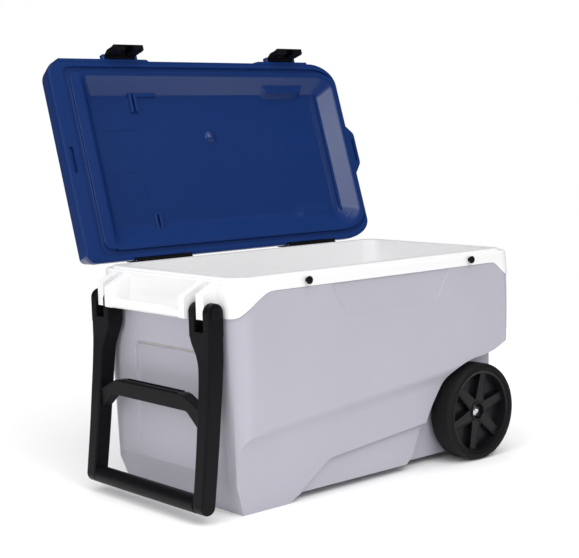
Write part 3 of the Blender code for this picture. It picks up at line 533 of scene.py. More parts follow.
def sloped_pocket(name, axis, outline, surface, floor, slope):
    """A pocket whose walls slope from a wider mouth to its floor."""
    rings = [level_ring(axis, grown(outline, slope), surface), level_ring(axis, outline, floor)]
    return loft(name, rings)


def tub_cutters(depth):
    """Everything taken off the plain tub block, enlarged by the wall depth."""
    outer = depth == 0.0
    fold_reach = 0.010 if outer else 0.0
    facet = [(0.1745, -0.03), (0.1745, 0.018), (0.247, 0.070), (0.541, 0.097), (0.60, 0.060),
             (0.60, -0.03)]
    badge = [(0.239, 0.389), (0.271, 0.344), (0.284, 0.341), (0.499, 0.341), (0.517, 0.345),
             (0.5495, 0.400), (0.5495, 0.404), (0.234, 0.404)]
    underside = [(0.149, -FAR), (0.149, depth), (0.159 - depth / 2, 0.007 + depth),
                 (0.1735 - depth / 2, UNDERSIDE_HEIGHT + depth), (0.80, UNDERSIDE_HEIGHT + depth),
                 (0.80, -FAR)]
    above = FOLD_HEIGHT + 0.02
    fold = [(-FAR, above), (wall_inset(above) - 0.0003, above), (wall_inset(FOLD_HEIGHT), FOLD_HEIGHT),
            (TOE_Y, 0.0), (TOE_Y, -FAR), (-FAR, -FAR)]
    fold = [(x + depth, z + depth) for x, z in fold]
    end_step = [(END_FACE_X - depth, -FAR), (END_FACE_X - depth, 0.215 + depth / 2),
                (0.76 - depth / 2, 0.243 + depth), (0.80, 0.243 + depth), (0.80, -FAR)]
    panel = [(0.117, 0.289), (0.112, 0.068), (0.3116, 0.068), (0.3066, 0.289)]
    arch = grown(arch_outline(), depth) if depth else arch_outline()
    if outer:
        fold = fold[:1] + eased(fold[1:4], fold_reach, closed=False) + fold[4:]
        underside = eased(underside, 0.004)
        facet = eased(facet, 0.006)
        badge = eased(badge, 0.004)
        panel = eased(panel, 0.012)
    else:
        facet, badge, panel = grown(facet, depth), grown(badge, depth), grown(panel, depth)
    full = (-0.05, TUB_WIDTH + 0.05)
    tools = [prism("underside", "y", underside, *full), prism("fold", "y", fold, *full),
             prism("end_step", "y", end_step, *full)]
    if outer:
        tools.append(sloped_pocket("end_panel", "x", panel, -0.0375, 0.0125, 0.05))
    else:
        tools.append(prism("end_panel", "x", panel, -FAR, 0.0125 + depth))
    for side in (0, 1):
        tools.append(ledge_cutter(depth, side == 1, fold_reach))
        tools.append(prism("facet", "y", facet, *across(-0.05, 0.041 + depth)[side]))
        tools.append(badge_cutter(badge, depth, side, outer))
        tools.append(prism("arch", "y", arch, *across(-0.05, ARCH_DEPTH + depth)[side]))
    return tools


def badge_cutter(badge, depth, side, outer):
    floor = 0.0045 + depth
    if not outer:
        return prism("badge", "y", badge, *across(-FAR, floor)[side])
    mouth = -0.0055
    levels = (mouth, floor) if side == 0 else (TUB_WIDTH - mouth, TUB_WIDTH - floor)
    return sloped_pocket("badge", "y", badge, *levels, 0.010)


def tub_block(depth, top=0.45):
    """The tub's outer form, pulled in by a depth all round, with a rounded foot when solid."""
    levels = [(depth, 0.0)]
    if depth == 0.0:
        foot = 0.004
        levels = [(foot * (1 - math.cos(a)), foot * (1 - math.sin(a)))
                  for a in (math.pi / 2 * k / 5 for k in range(6))]
    levels += [(z, 0.0) for z in (WHEEL_CORNER_FROM, 0.30, 0.345, 0.365, 0.385, 0.40, 0.41, top)]
    rings = []
    for z, tuck in levels:
        inset = wall_inset(z) + depth + tuck
        rings.append(rounded_ring(inset, TUB_LENGTH - WALL_INSET - depth - tuck, inset, TUB_WIDTH - inset,
                                  CORNER_RADIUS - depth - tuck, z, wheel_corner(z) - depth - tuck))
    return cut(loft("tub_block", rings), *tub_cutters(depth))


def drain_hole():
    centre = (0, TUB_WIDTH / 2, DRAIN_Z)
    return rod("drain_hole", "x", centre, DRAIN_BORE, END_FACE_X - FAR, END_FACE_X + FAR)


def make_tub_shell():
    above_seam = seam_prism("above_seam", 0.0, 0.50)
    shell = cut(tub_block(0.0), tub_block(SKIN, top=0.46), above_seam, drain_hole())
    for span in across(0.050, 0.075):
        cut(shell, rod("bolt_hole", "y", (WHEEL_X, 0, WHEEL_RADIUS), AXLE_RADIUS + GAP, *span))
    place(shell, "grey_shell_moulding", GREY, "grey_shell", "tub", ["tub_shell"])


# ---------------------------------------------------------------- liner

def collar_ring(inset, z):
    return rounded_ring(inset, TUB_LENGTH - inset, inset, TUB_WIDTH - inset,
                        CORNER_RADIUS - inset, z, wheel_corner(z) - inset)


def cavity_block(depth):
    """The cold space inside the liner, pulled in by a depth all round."""
    levels = [(CAVITY_FLOOR, 0.050, 0.716, 0.050), (0.225, 0.041, 0.717, 0.042),
              (0.285, 0.038, 0.718, 0.038), (0.45, 0.032, 0.719, 0.032)]
    rings = []
    for z, x0, x1, y0 in levels:
        height = z + depth if z == CAVITY_FLOOR else z
        rings.append(rounded_ring(x0 + depth, x1 - depth, y0 + depth, TUB_WIDTH - y0 - depth,
                                  0.030 - depth, height))
    tools = [prism("arch", "y", grown(arch_outline(), 0.014 + depth), *span)
             for span in across(-0.05, ARCH_DEPTH + 0.024 + depth)]
    return cut(loft("cavity", rings), *tools)


def make_liner():
    outside = ((0.0016, 0.345), (0.0012, 0.365), (0.0009, 0.385), (0.0005, 0.410), (0.0002, 0.4236),
               (0.0006, 0.4257), (0.0016, 0.4271), (0.0030, 0.4278), (0.0046, RIM_HEIGHT),
               (0.0118, RIM_HEIGHT), (0.0130, 0.4284), (0.0138, 0.4294), (0.0142, 0.4314),
               (0.0146, 0.4320), (0.0154, LIP_HEIGHT))
    underneath = ((0.0016, 0.30), (0.0016, 0.345), (0.0013, 0.365), (0.0010, 0.385), (0.0007, 0.410),
                  (0.0005, COLLAR_UNDERSIDE))
    collar = loft("collar", [collar_ring(inset, z) for inset, z in outside])
    cut(collar, loft("under", [collar_ring(inset + COLLAR_WALL, z) for inset, z in underneath]))
    skirt_only = cut(seam_prism("below_seam", 2 * GAP, 0.20),
                     loft("core", [collar_ring(0.012, 0.10), collar_ring(0.012, 0.60)]))
    cut(collar, skirt_only)
    walls = cut(cavity_block(-SKIN), block("lid_space", (-0.1, 0.9), (-0.1, 0.6), (0.4264, 0.6)))
    fused(collar, walls)
    for span in TOWER_SPANS:
        fused(collar, make_tower(span))
    fused(collar, carry_bar())
    cut(collar, cavity_block(0.0))
    cut(collar, *liner_bores())
    place(collar, "white_liner_moulding", WHITE, "white_liner", "tub", ["tub_liner"])


def make_tower(span):
    """A tower on the collar with an open-topped slot for the handle's ears."""
    foot = END_SEAM_HANDLE + 2 * GAP
    side = [(0.0030, 0.4245), (TOWER_FACE_X, 0.4010), (TOWER_FACE_X, foot), (0.0030, foot)]
    side = side[:1] + eased(side, 0.0045, closed=False)[1:-1] + side[-1:]
    tower = bevelled(prism("tower", "y", side, *span), 0.0016)
    middle = sum(span) / 2 + (0.0005 if span[0] < TUB_WIDTH / 2 else -0.0005)
    slot = (middle - TOWER_SLOT / 2, middle + TOWER_SLOT / 2)
    outer = (span[0] - 0.01, slot[0]) if span[0] < TUB_WIDTH / 2 else (slot[1], span[1] + 0.01)
    return cut(tower, block("slot", (-0.08, 0.0), slot, (0.30, 0.45)),
               bevelled(block("step", (-0.08, TOWER_BLOCK_X), outer, (0.30, 0.45)), 0.0012))


def carry_bar():
    centre_x, centre_z = CARRY_BAR
    half_x, half_z = 0.0105, 0.0083
    outline = rounded_outline(centre_x - half_x, centre_x + half_x, centre_z - half_z,
                              centre_z + half_z, ((0.0075, 0.0075),) * 4, 8)
    return prism("carry_bar", "y", outline, TOWER_SPANS[0][1] - 0.003, TOWER_SPANS[1][0] + 0.003)


def screw_places():
    return [centre + side * SCREW_SPREAD for centre in HINGE_CENTRES for side in (-1, 1)]


def liner_bores():
    tools = [rod("bore", "y", (PIVOT_X, 0, PIVOT_Z), PIN_BORE, *span) for span in across(0.02, 0.099)]
    tools += [rod("bore", "y", (x, 0, STUD_HEIGHT), STUD_BORE, -0.02, 0.008) for x in LATCH_CENTRES]
    tools += [rod("bore", "y", (x, 0, COLLAR_SCREW_Z), SCREW_BORE, 0.410, 0.45, 16) for x in screw_places()]
    return tools + [drain_hole()]


# ---------------------------------------------------------------- tow handle

def arm_centre(z):
    """X of the arm's middle: straight under the pivot, then easing outward to the grip."""
    bend = max(0.0, (0.300 - z) / (0.300 - GRIP_Z))
    return PIVOT_X + (GRIP_X - PIVOT_X) * bend ** 1.25


def make_arm():
    """One arm of the fork, from the two ears on the pivot down to the round toe at the grip."""
    inner_edge = eased([(0.3400, 0.0868), (0.3240, 0.0862), (0.2900, 0.0650), (0.2550, 0.0610),
                        (0.1200, 0.0588), (GRIP_Z, 0.0580)], 0.020, steps=6, closed=False)
    rings = []
    for z, inner in inner_edge:
        x = arm_centre(z)
        ease = max(0.0, (0.3 - z) / (0.3 - GRIP_Z))
        half = ARM_DEPTH + (TOE_RADIUS - ARM_DEPTH) * ease
        outline = rounded_outline(x - half, x + half, ARM_OUTER_Y, inner, ((0.004, 0.004),) * 4, 5)
        rings.append(level_ring("z", outline, z))
    arm = loft("arm", rings)
    toe = turned("toe", "y", (GRIP_X, 0, GRIP_Z),
                 [(TOE_RADIUS - 0.003, ARM_OUTER_Y + 0.0008), (TOE_RADIUS - 0.0009, ARM_OUTER_Y + 0.0017),
                  (TOE_RADIUS, ARM_OUTER_Y + 0.004), (TOE_RADIUS, 0.0560), (TOE_RADIUS - 0.002, 0.0578)])
    fused(arm, toe, ear(ARM_OUTER_Y, 0.0464), ear(0.0704, 0.0866))
    return cut(arm, rod("bore", "y", (PIVOT_X, 0, PIVOT_Z), PIN_BORE, 0.0, 0.2))


def ear(low, high):
    dome = arc((PIVOT_X, PIVOT_Z), EAR_RADIUS, EAR_RADIUS, 0, 180, 24)
    outline = dome + [(PIVOT_X - ARM_DEPTH, 0.330), (PIVOT_X + ARM_DEPTH, 0.330)]
    return soft_prism("ear", "y", outline, low, high, 0.0022)


def make_handle():
    fork = make_arm()
    other = fork.copy()
    other.data = fork.data.copy()
    bpy.context.scene.collection.objects.link(other)
    other.data.transform(Matrix.Translation((0, TUB_WIDTH, 0)) @ Matrix.Diagonal((1, -1, 1, 1)))
    other.data.flip_normals()
    lower = [(0.055, 0.1620), (0.060, 0.1645), (0.097, 0.1950)]
    upper = [(0.108, BRACE_TOP), (0.055, 0.2000)]
    outline = lower + mirrored_y(reversed(lower)) + mirrored_y(reversed(upper)) + upper
    middle = arm_centre(0.2)
    front, back = middle - 0.0130, middle + 0.0090
    brace = soft_prism("brace", "x", eased(outline, 0.006), front, back, 0.0018)
    flat, rise = (0.124, TUB_WIDTH - 0.124), (BRACE_TOP - 0.004, BRACE_TOP + BRACE_RIB)
    lips = [bevelled(block("lip", span, flat, rise), 0.0006)
            for span in ((front + 0.0020, front + 0.0050), (back - 0.0050, back - 0.0020))]
    core = rod("core", "y", (GRIP_X, 0, GRIP_Z), GRIP_CORE, 0.050, TUB_WIDTH - 0.050)
    fused(fork, other, brace, *lips, core)
    place(fork, "tow_fork", BLACK, "black_plastic", "pull_handle", ["handle_frame"])


def make_grip():
    """A sleeve round the fork's lower bar, with rounded ends."""
    bore, ends = GRIP_CORE + GAP, (0.0583, TUB_WIDTH - 0.0583)
    profile = [(bore, ends[0])]
    profile += [(GRIP_RADIUS - 0.0015 * (1 - math.sin(a)), ends[0] + 0.0015 * (1 - math.cos(a)))
                for a in (math.pi / 2 * k / 4 for k in range(5))]
    profile += [(radius, TUB_WIDTH - y) for radius, y in reversed(profile)]
    sleeve = turned("sleeve", "y", (GRIP_X, 0, GRIP_Z), profile, hollow=True)
    place(sleeve, "grip_sleeve", BLACK, "black_plastic", "pull_handle", ["handle_grip"])


# ---------------------------------------------------------------- wheels

def groove_depth(level, turn):
    """Drop in the tread's radius where a groove runs round it or across it, by level and turn."""
    low, high = TYRE_SPAN
    share = (level - low) / (high - low)
    if not 0.12 < share < 0.88:
        return 0.0
    crossing = (turn * TREAD_BLOCKS) % 1.0 < 0.12
    round_it = any(abs(share - line) < 0.014 for line in TREAD_LINES)
    return TREAD_GROOVE if crossing or round_it else 0.0


def make_tyre(side, mirror):
    low, high = TYRE_SPAN
    sidewall = [(TYRE_BORE, 0.0042), (0.0868, 0.0024), (0.0882, 0.0010), (0.0890, 0.0010),
                (0.0894, 0.0001), (0.0906, 0.0001), (0.0910, 0.0014), (0.0918, 0.0014),
                (0.0922, 0.0008), (0.0938, 0.0012), (0.0944, 0.0028), (0.0952, 0.0030),
                (0.0958, 0.0024), (0.0974, 0.0044), (0.0988, 0.0074), (TREAD_EDGE, 0.0103)]
    profile = [(radius, low + depth) for radius, depth in sidewall]
    start, end = low + 0.0122, high - 0.0122
    crown = [(WHEEL_RADIUS, start + (end - start) * k / TREAD_LEVELS) for k in range(TREAD_LEVELS + 1)]
    profile += crown + [(r, low + high - y) for r, y in reversed(profile)]
    rings = []
    for radius, level in profile:
        y = TUB_WIDTH - level if mirror else level
        ring = []
        for i in range(TYRE_STEPS):
            angle = 2 * math.pi * i / TYRE_STEPS
            reach = radius - (groove_depth(level, i / TYRE_STEPS) if radius >= TREAD_EDGE else 0.0)
            ring.append(Vector((WHEEL_X + reach * math.cos(angle), y,
                                WHEEL_RADIUS + reach * math.sin(angle))))
        rings.append(ring)
    tyre = loft("tyre", rings, ring_closed=True)
    place(tyre, f"ribbed_tyre_{side}", TYRE, "tyre_rubber", f"wheel_{side}", [f"wheel_tyre_{side}"],
          sharp=40)


def make_rim(side, mirror):
    centre = Vector((WHEEL_X, 0, WHEEL_RADIUS))

    def turn_over(profile):
        return [(r, TUB_WIDTH - y) for r, y in profile] if mirror else profile

    low, high = TYRE_SPAN
    edge = TYRE_BORE - GAP
    bore = AXLE_RADIUS + GAP
    section = [(DISH_RADIUS - 0.0004, low + 0.0090), (DISH_RADIUS, low + 0.0068), (0.0810, low + 0.0060),
               (0.0846, low + 0.0046), (0.0853, low + 0.0046), (edge, low + 0.0054), (edge, high - 0.0046),
               (DISH_RADIUS, high - 0.0046), (0.0785, WEB[1]), (HUB_RADIUS, WEB[1]), (HUB_RADIUS, 0.0530),
               (bore, 0.0530), (bore, HUB_FLOOR), (HUB_RECESS - 0.0010, HUB_FLOOR),
               (HUB_RECESS, HUB_FLOOR - 0.0010), (HUB_RECESS, 0.0066), (HUB_RECESS + 0.0010, 0.0056),
               (HUB_RADIUS - 0.0012, 0.0056), (HUB_RADIUS, 0.0068), (HUB_RADIUS, WEB[0]), (0.0780, WEB[0])]
    rim = turned("rim", "y", centre, turn_over(section), RIM_STEPS, hollow=True)
    spokes = [make_spoke(centre, i, turn_over) for i in range(SPOKES)]
    fused(rim, *spokes)
    place(rim, f"spoked_rim_{side}", RIM_BLACK, "rim_black", f"wheel_{side}", [f"wheel_rim_{side}"])


def make_spoke(centre, index, turn_over):
    """A tapered spoke with a crowned face, from inside the hub's wall to inside the rim's wall."""
    angle = 2 * math.pi * index / SPOKES + SPOKE_TURN
    along = Vector((math.cos(angle), 0, math.sin(angle)))
    side = Vector((-math.sin(angle), 0, math.cos(angle)))
    lip = 0.0016
    taper = ((0.0178, 0.0136), (0.0380, 0.0118), (0.0600, 0.0104), (0.0760, 0.0094), (0.0800, 0.0094))
    rings = []
    for reach, half in taper:
        corners = eased([(-half, 0.0072), (-half + lip, 0.0072), (-half + 2 * lip, 0.0082),
                         (half - 2 * lip, 0.0082), (half - lip, 0.0072), (half, 0.0072),
                         (half - 0.002, 0.0198), (-half + 0.002, 0.0198)], 0.0006, steps=2)
        ring = []
        for offset, y in corners:
            depth = turn_over([(0, y)])[0][1]
            ring.append(centre + along * reach + side * offset + Vector((0, depth, 0)))
        rings.append(ring)
    return loft("spoke", rings)


# ---------------------------------------------------------------- lid, drawn closed

def lid_ring(inset, rise, bounds=None, radii=LID_CORNERS):
    """A ring of the lid's outline at a height over the rim plane."""
    x0, x1, near, far = bounds or (*LID_X, *LID_FORWARD)
    shrunk = [(max(rx - inset, 0.004), max(ry - inset, 0.004)) for rx, ry in radii]
    outline = rounded_outline(x0 + inset, x1 - inset, HINGE_Y - far + inset,
                              HINGE_Y - near - inset, shrunk)
    return [Vector((x, y, HINGE_Z + rise)) for x, y in outline]


def lid_outline(points):
    """Points of (x, forward) as (x, y)."""
    return [(x, HINGE_Y - forward) for x, forward in points]


def lid_box(x, forward, rise):
    return block("lid_box", x, (HINGE_Y - forward[1], HINGE_Y - forward[0]),
                 (HINGE_Z + rise[0], HINGE_Z + rise[1]))


def knuckle_reliefs():
    centre = (0, HINGE_Y, HINGE_Z)
    return [rod("relief", "x", centre, KNUCKLE_RELIEF, x - HINGE_HALF - 0.002, x + HINGE_HALF + 0.002)
            for x in HINGE_CENTRES]


def make_lid_shell():
    top = LID_HEIGHT
    outer = [(0.0008, 0.0), (0.0002, 0.0005), (0.0, 0.0014), (0.0, 0.0090), (0.0004, 0.0112),
             (0.0085, 0.0410), (0.0100, 0.0447), (0.0128, 0.0486), (0.0164, 0.0516), (0.0208, 0.0539),
             (0.0255, 0.0553), (0.0310, top)]
    rings = [lid_ring(0.030, top - SKIN), lid_ring(0.0215, top - 0.0055), lid_ring(0.0115, 0.040),
             lid_ring(SKIN, 0.0)]
    rings += [lid_ring(inset, rise) for inset, rise in outer]
    shell = loft("lid_shell", rings)
    for x0, x1, ramp in ((0.014, 0.232, 0.006), (0.541, 0.688, -0.018)):
        fused(shell, edge_land(x0, x1, ramp))
    for x in LATCH_CENTRES:
        for side in (-1, 1):
            low, high = sorted((x + side * (LATCH_HALF + 0.0006), x + side * (LATCH_HALF + 0.0070)))
            fused(shell, bevelled(lid_box((low, high), (0.418, 0.4380), (0.0020, 0.0142)), 0.0020))
    fused(shell, end_tab())
    inner = loft("inner", [lid_ring(SKIN, -0.02), lid_ring(SKIN, 0.0), lid_ring(0.0115, 0.040)])
    slot = prism("slot", "z", rounded_outline(0.7740, 0.7800, HINGE_Y - 0.241, HINGE_Y - 0.185,
                                              ((0.0025, 0.0025),) * 4, 5), HINGE_Z - 0.02, HINGE_Z + 0.03)
    bores = [rod("bore", "x", (0, HINGE_Y - LATCH_FORWARD, HINGE_Z + LATCH_RISE), LATCH_BORE,
                 x - 0.05, x + 0.05, 16) for x in LATCH_CENTRES]
    screws = [rod("bore", "y", (x, 0, HINGE_Z + LID_SCREW_RISE), SCREW_BORE, 0.410, 0.45, 16)
              for x in screw_places()]
    cut(shell, inner, slot, *bores, *knuckle_reliefs(), *screws)
    place(shell, "lid_outer_moulding", NAVY, "blue_lid", "lid", ["lid_shell"], lid=True)


def edge_land(x0, x1, ramp):
    """A thickened stretch of the lid's front edge with one sloping end."""
    front = 0.4262
    left = x0 + min(ramp, 0.0)
    right = x1 + max(ramp, 0.0)
    outline = lid_outline([(left, 0.415), (left, 0.4222), (x0, front), (x1, front), (right, 0.4222),
                           (right, 0.415)])
    return prism("land", "z", eased(outline, 0.002, steps=3), HINGE_Z, HINGE_Z + 0.0140)


def end_tab():
    outline = lid_outline([(0.755, 0.274), (0.7668, 0.270), (0.787, 0.2505), (0.787, 0.179),
                           (0.7668, 0.155), (0.755, 0.151)])
    return soft_prism("tab", "z", eased(outline, 0.006), HINGE_Z + 0.0, HINGE_Z + 0.0065, 0.0012)


def tray_ring(bounds, grow, rise, corner=RIM_CORNER):
    """A ring of the tray or groove, whose wheel-end corners are cut back further."""
    small, front_x, front_y, rear_x, rear_y = corner
    radii = ((small, small), (front_x, front_y), (rear_x, rear_y), (small, small))
    return lid_ring(-grow, rise, bounds=bounds, radii=radii)


def mixed(first, second, share):
    return tuple(a + (b - a) * share for a, b in zip(first, second))


def tray_wall():
    """Rings from the tray floor's edge up its sloping walls to the rim, both folds rounded."""
    profile = eased([(-0.5, 1.0), (0.0, 1.0), (1.0, 0.0), (1.5, 0.0)], 0.16, steps=6, closed=False)[1:-1]
    rings = []
    for share, rise in profile:
        bounds = mixed(TRAY_FLOOR, TRAY_RIM, share)
        corner = mixed(FLOOR_CORNER, RIM_CORNER, min(max(share, 0.0), 1.0))
        rings.append(tray_ring(bounds, 0.0, TRAY_DEPTH * rise, corner))
    return rings


def groove_rings():
    """Rings across the seal groove, from the tray side out to the flange, with rounded lips."""
    lip = 0.0012
    rings = []
    for bounds, sign in ((GROOVE_INNER, 1.0), (GROOVE_OUTER, -1.0)):
        steps = [(-lip, 0.0), (-lip * 0.3, 0.0003), (0.0, lip), (0.0002, GROOVE_DEPTH - lip),
                 (0.0008, GROOVE_DEPTH - 0.0003), (0.0020, GROOVE_DEPTH)]
        if sign < 0:
            steps.reverse()
        rings += [tray_ring(bounds, sign * grow, rise, GROOVE_CORNER) for grow, rise in steps]
    return rings


def make_lid_liner():
    edge = SKIN + GAP
    share = LINER_FLANGE / TRAY_DEPTH
    wall = 0.0042
    rings = tray_wall() + groove_rings()
    rings += [lid_ring(edge + 0.0004, 0.0), lid_ring(edge, 0.0004), lid_ring(edge + 0.0025, LINER_FLANGE),
              tray_ring(mixed(TRAY_RIM, TRAY_FLOOR, share), wall, LINER_FLANGE),
              tray_ring(TRAY_FLOOR, wall, TRAY_DEPTH + SKIN, FLOOR_CORNER)]
    liner = loft("lid_liner", rings)
    for feature in tray_features():
        fused(liner, feature)
    slot = prism("slot", "z", rounded_outline(-0.0025, 0.0065, HINGE_Y - 0.241, HINGE_Y - 0.187,
                                              ((0.003, 0.003),) * 4, 5), HINGE_Z - 0.01, HINGE_Z + 0.006)
    cut(liner, slot, *knuckle_reliefs(), *mould_marks())
    place(liner, "lid_inner_moulding", NAVY, "blue_lid", "lid", ["lid_liner"], lid=True)


def tray_solid(outline, rise, spread=0.0015, corner=0.0015):
    """A raised shape on the tray, its walls spreading from its face down into the floor."""
    shape = eased(lid_outline(outline), corner, steps=3)
    face, foot = rise, TRAY_DEPTH + 0.001
    levels = [(-0.0012, face), (-0.0003, face + 0.0003), (0.0, face + 0.0012), (spread, foot)]
    return loft("tray_solid", [level_ring("z", grown(shape, grow), HINGE_Z + z) for grow, z in levels])


def bar(x, forward):
    return [(x[0], forward[0]), (x[1], forward[0]), (x[1], forward[1]), (x[0], forward[1])]


def tray_features():
    """Corner ribs, end-wall ridges, wedge bosses and the dome on the tray floor."""
    parts = []
    for legs, foot in (((0.319, 0.360), (0.352, 0.360)), ((0.059, 0.098), (0.059, 0.067))):
        for x in (0.183, 0.195):
            parts.append(tray_solid(bar((x, x + 0.006), legs), TRAY_DEPTH - 0.0075))
        parts.append(tray_solid(bar((0.198, 0.252), foot), TRAY_DEPTH - 0.0060))
    for x, rise in ((0.6960, 0.0050), (0.7080, 0.0085)):
        parts.append(tray_solid(bar((x, x + 0.006), (0.072, 0.354)), TRAY_DEPTH - rise))
    parts.append(tray_solid([(0.539, 0.394), (0.686, 0.394), (0.656, 0.3560), (0.556, 0.3560)], 0.012,
                            spread=0.010, corner=0.006))
    wedge = tray_solid([(0.560, 0.035), (0.690, 0.035), (0.664, 0.074), (0.590, 0.076)], 0.0165,
                       spread=0.030, corner=0.008)
    parts.append(cut(wedge, lid_box((0.45, 0.80), (-0.05, 0.018), (-0.01, 0.06))))
    parts.append(dome())
    return parts


def dome():
    centre = (0.380, HINGE_Y - 0.262, 0)
    floor = HINGE_Z + TRAY_DEPTH
    radius, height = 0.0145, 0.0075
    profile = [(radius + 0.003, floor + 0.001), (radius + 0.003, floor)]
    for k in range(1, 9):
        angle = math.pi / 2 * k / 9
        profile.append((radius * math.cos(angle), floor - height * math.sin(angle) ** 1.4))
    profile.append((0.002, floor - height))
    return turned("dome", "z", centre, profile)


def mould_marks():
    """Two plain, shallow recesses on the tray floor: a pill and a square."""
    floor = HINGE_Z + TRAY_DEPTH
    pill = rounded_outline(0.106, 0.200, HINGE_Y - 0.281, HINGE_Y - 0.256, ((0.0115, 0.0115),) * 4, 6)
    square = lid_box((0.119, 0.181), (0.132, 0.190), (TRAY_DEPTH - 0.01, TRAY_DEPTH + 0.0005))
    return [prism("pill", "z", pill, floor - 0.01, floor + 0.0006), square]


# ---------------------------------------------------------------- latches

def make_latch(name, x):
    barrel = arc((LATCH_FORWARD, LATCH_RISE), 0.0050, 0.0050, 0, 180, 16)
    blade = eased([(0.4292, 0.0040), (0.4325, 0.0020), (0.4325, -0.0290), (0.4338, -0.0350),
                   (0.4450, -0.0350), (0.4458, -0.0320), (0.4440, -0.0260), (0.4440, -0.0070),
                   (0.4385, 0.0040)], 0.0012, steps=3, closed=False)
    outline = [(HINGE_Y - f, HINGE_Z + r) for f, r in barrel + blade]
    latch = soft_prism("latch", "x", outline, x - LATCH_HALF, x + LATCH_HALF, 0.0010, steps=3)
    channel = lid_box((x - LATCH_CHANNEL, x + LATCH_CHANNEL), (0.4200, 0.4425), (-0.060, -0.0040))
    pivot = (0, HINGE_Y - LATCH_FORWARD, HINGE_Z + LATCH_RISE)
    cut(latch, channel, rod("bore", "x", pivot, LATCH_BORE, x - 0.1, x + 0.1, 16))
    place(latch, f"latch_blade_{name}", BLACK, "black_plastic", f"latch_{name}", [f"latch_{name}"],
          lid=True)


# ---------------------------------------------------------------- carried-over hardware

def dress(names, finish):
    for name in names:
        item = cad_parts[name]
        item.data.materials.clear()
        item.data.materials.append(finish)


def named(*starts):
    return [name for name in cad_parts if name.startswith(starts)]


def dress_hardware():
    """Give every carried-over node its finish."""
    dress(named("axle_", "hinge_pin", "latch_pin", "lid_hinge_screw", "tub_hinge_screw"), STEEL)
    dress(named("hinge_tub_leaf", "hinge_lid_leaf", "latch_stud", "handle_pin", "drain_"), BLACK)
    dress(["drain_gasket"], SEAL)
    dress(["tub_insulation", "lid_insulation"], FOAM)


# ---------------------------------------------------------------- studio

def make_floor():
    shape = bmesh.new()
    bmesh.ops.create_grid(shape, x_segments=1, y_segments=1, size=FLOOR_REACH)
    mesh = bpy.data.meshes.new("floor")
    shape.to_mesh(mesh)
    shape.free()
    floor = bpy.data.objects.new("floor", mesh)
    bpy.context.scene.collection.objects.link(floor)
    finish = bpy.data.materials.new("pale_floor")
    finish.use_nodes = True
    shader = finish.node_tree.nodes["Principled BSDF"]
    shader.inputs["Base Color"].default_value = (1.0, 1.0, 1.0, 1.0)
    shader.inputs["Roughness"].default_value = 0.9
    shader.inputs["Specular IOR Level"].default_value = 0.1
    mesh.materials.append(finish)


def soft_light(name, place_at, target, size, power):
    data = bpy.data.lights.new(name, "AREA")
    data.shape = "RECTANGLE"
    data.size, data.size_y = size
    data.energy = power
    lamp = bpy.data.objects.new(name, data)
    bpy.context.scene.collection.objects.link(lamp)
    lamp.location = place_at
    lamp.rotation_euler = (Vector(target) - Vector(place_at)).to_track_quat("-Z", "Y").to_euler()


def sky_light(name, towards, strength, spread):
    """A very soft light from one direction, even over the whole floor."""
    data = bpy.data.lights.new(name, "SUN")
    data.energy = strength
    data.angle = math.radians(spread)
    lamp = bpy.data.objects.new(name, data)
    bpy.context.scene.collection.objects.link(lamp)
    lamp.rotation_euler = Vector(towards).to_track_quat("Z", "Y").to_euler()


def ray_mix(tree, ray, plain, special):
    """A shader for most rays, and another one for the rays named."""
    blend = tree.nodes.new("ShaderNodeMixShader")
    tree.links.new(ray, blend.inputs["Fac"])
    tree.links.new(plain.outputs[0], blend.inputs[1])
    tree.links.new(special.outputs[0], blend.inputs[2])
    return blend


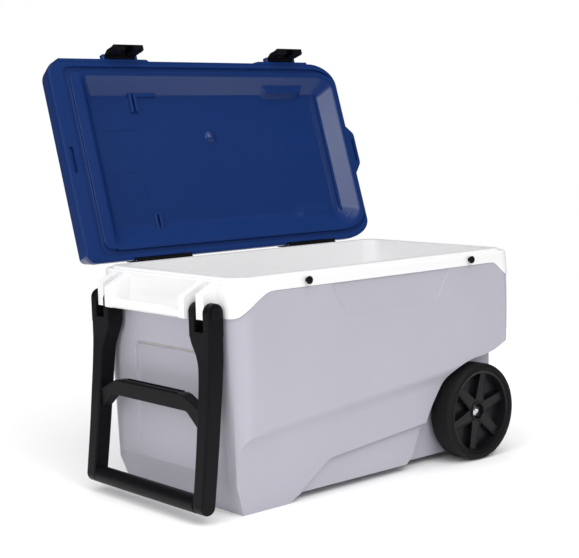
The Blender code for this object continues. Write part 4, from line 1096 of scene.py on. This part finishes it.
def make_lights():
    world = bpy.data.worlds.new("studio")
    world.use_nodes = True
    tree = world.node_tree
    backdrop = tree.nodes["Background"]
    backdrop.inputs["Color"].default_value = (1.0, 1.0, 1.0, 1.0)
    backdrop.inputs["Strength"].default_value = BACKDROP_LEVEL
    room = node(tree, "ShaderNodeBackground", Color=(1.0, 1.0, 1.0, 1.0), Strength=ROOM_LEVEL)
    dim_room = node(tree, "ShaderNodeBackground", Color=(1.0, 1.0, 1.0, 1.0), Strength=MIRRORED_ROOM_LEVEL)
    rays = tree.nodes.new("ShaderNodeLightPath").outputs
    lit_room = ray_mix(tree, rays["Is Glossy Ray"], room, dim_room)
    whole = ray_mix(tree, rays["Is Camera Ray"], lit_room, backdrop)
    tree.links.new(whole.outputs[0], tree.nodes["World Output"].inputs["Surface"])
    bpy.context.scene.world = world
    middle = (0.0, 0.0, 0.35)
    sky_light("overhead", (-0.40, -0.30, 1.0), 1.55, 75.0)
    soft_light("front_window", (-0.35, -2.65, 2.25), middle, (1.3, 1.3), 25.0)
    soft_light("left_window", (-2.8, -0.6, 1.1), middle, (1.3, 1.3), 17.0)


def make_camera():
    data = bpy.data.cameras.new("camera")
    data.lens = LENS
    data.sensor_width = SENSOR
    data.sensor_fit = "HORIZONTAL"
    camera = bpy.data.objects.new("camera", data)
    bpy.context.scene.collection.objects.link(camera)
    ahead = Vector((math.sin(CAMERA_YAW) * math.cos(CAMERA_PITCH),
                    math.cos(CAMERA_YAW) * math.cos(CAMERA_PITCH), -math.sin(CAMERA_PITCH)))
    level = Vector((math.cos(CAMERA_YAW), -math.sin(CAMERA_YAW), 0.0))
    upward = level.cross(ahead)
    rightward = math.cos(CAMERA_ROLL) * level + math.sin(CAMERA_ROLL) * upward
    above = -math.sin(CAMERA_ROLL) * level + math.cos(CAMERA_ROLL) * upward
    turn = Matrix((rightward, above, -ahead)).transposed().to_4x4()
    camera.matrix_world = Matrix.Translation(CAMERA_PLACE) @ turn
    bpy.context.scene.camera = camera


# ---------------------------------------------------------------- whole scene

def main():
    dress_hardware()
    make_tub_shell()
    make_liner()
    make_lid_shell()
    make_lid_liner()
    for name, x in zip(("left", "right"), LATCH_CENTRES):
        make_latch(name, x)
    make_handle()
    make_grip()
    for side, mirror in (("front", False), ("rear", True)):
        make_tyre(side, mirror)
        make_rim(side, mirror)
    make_floor()
    make_lights()
    make_camera()
    bpy.context.scene.view_settings.view_transform = "Standard"


main()
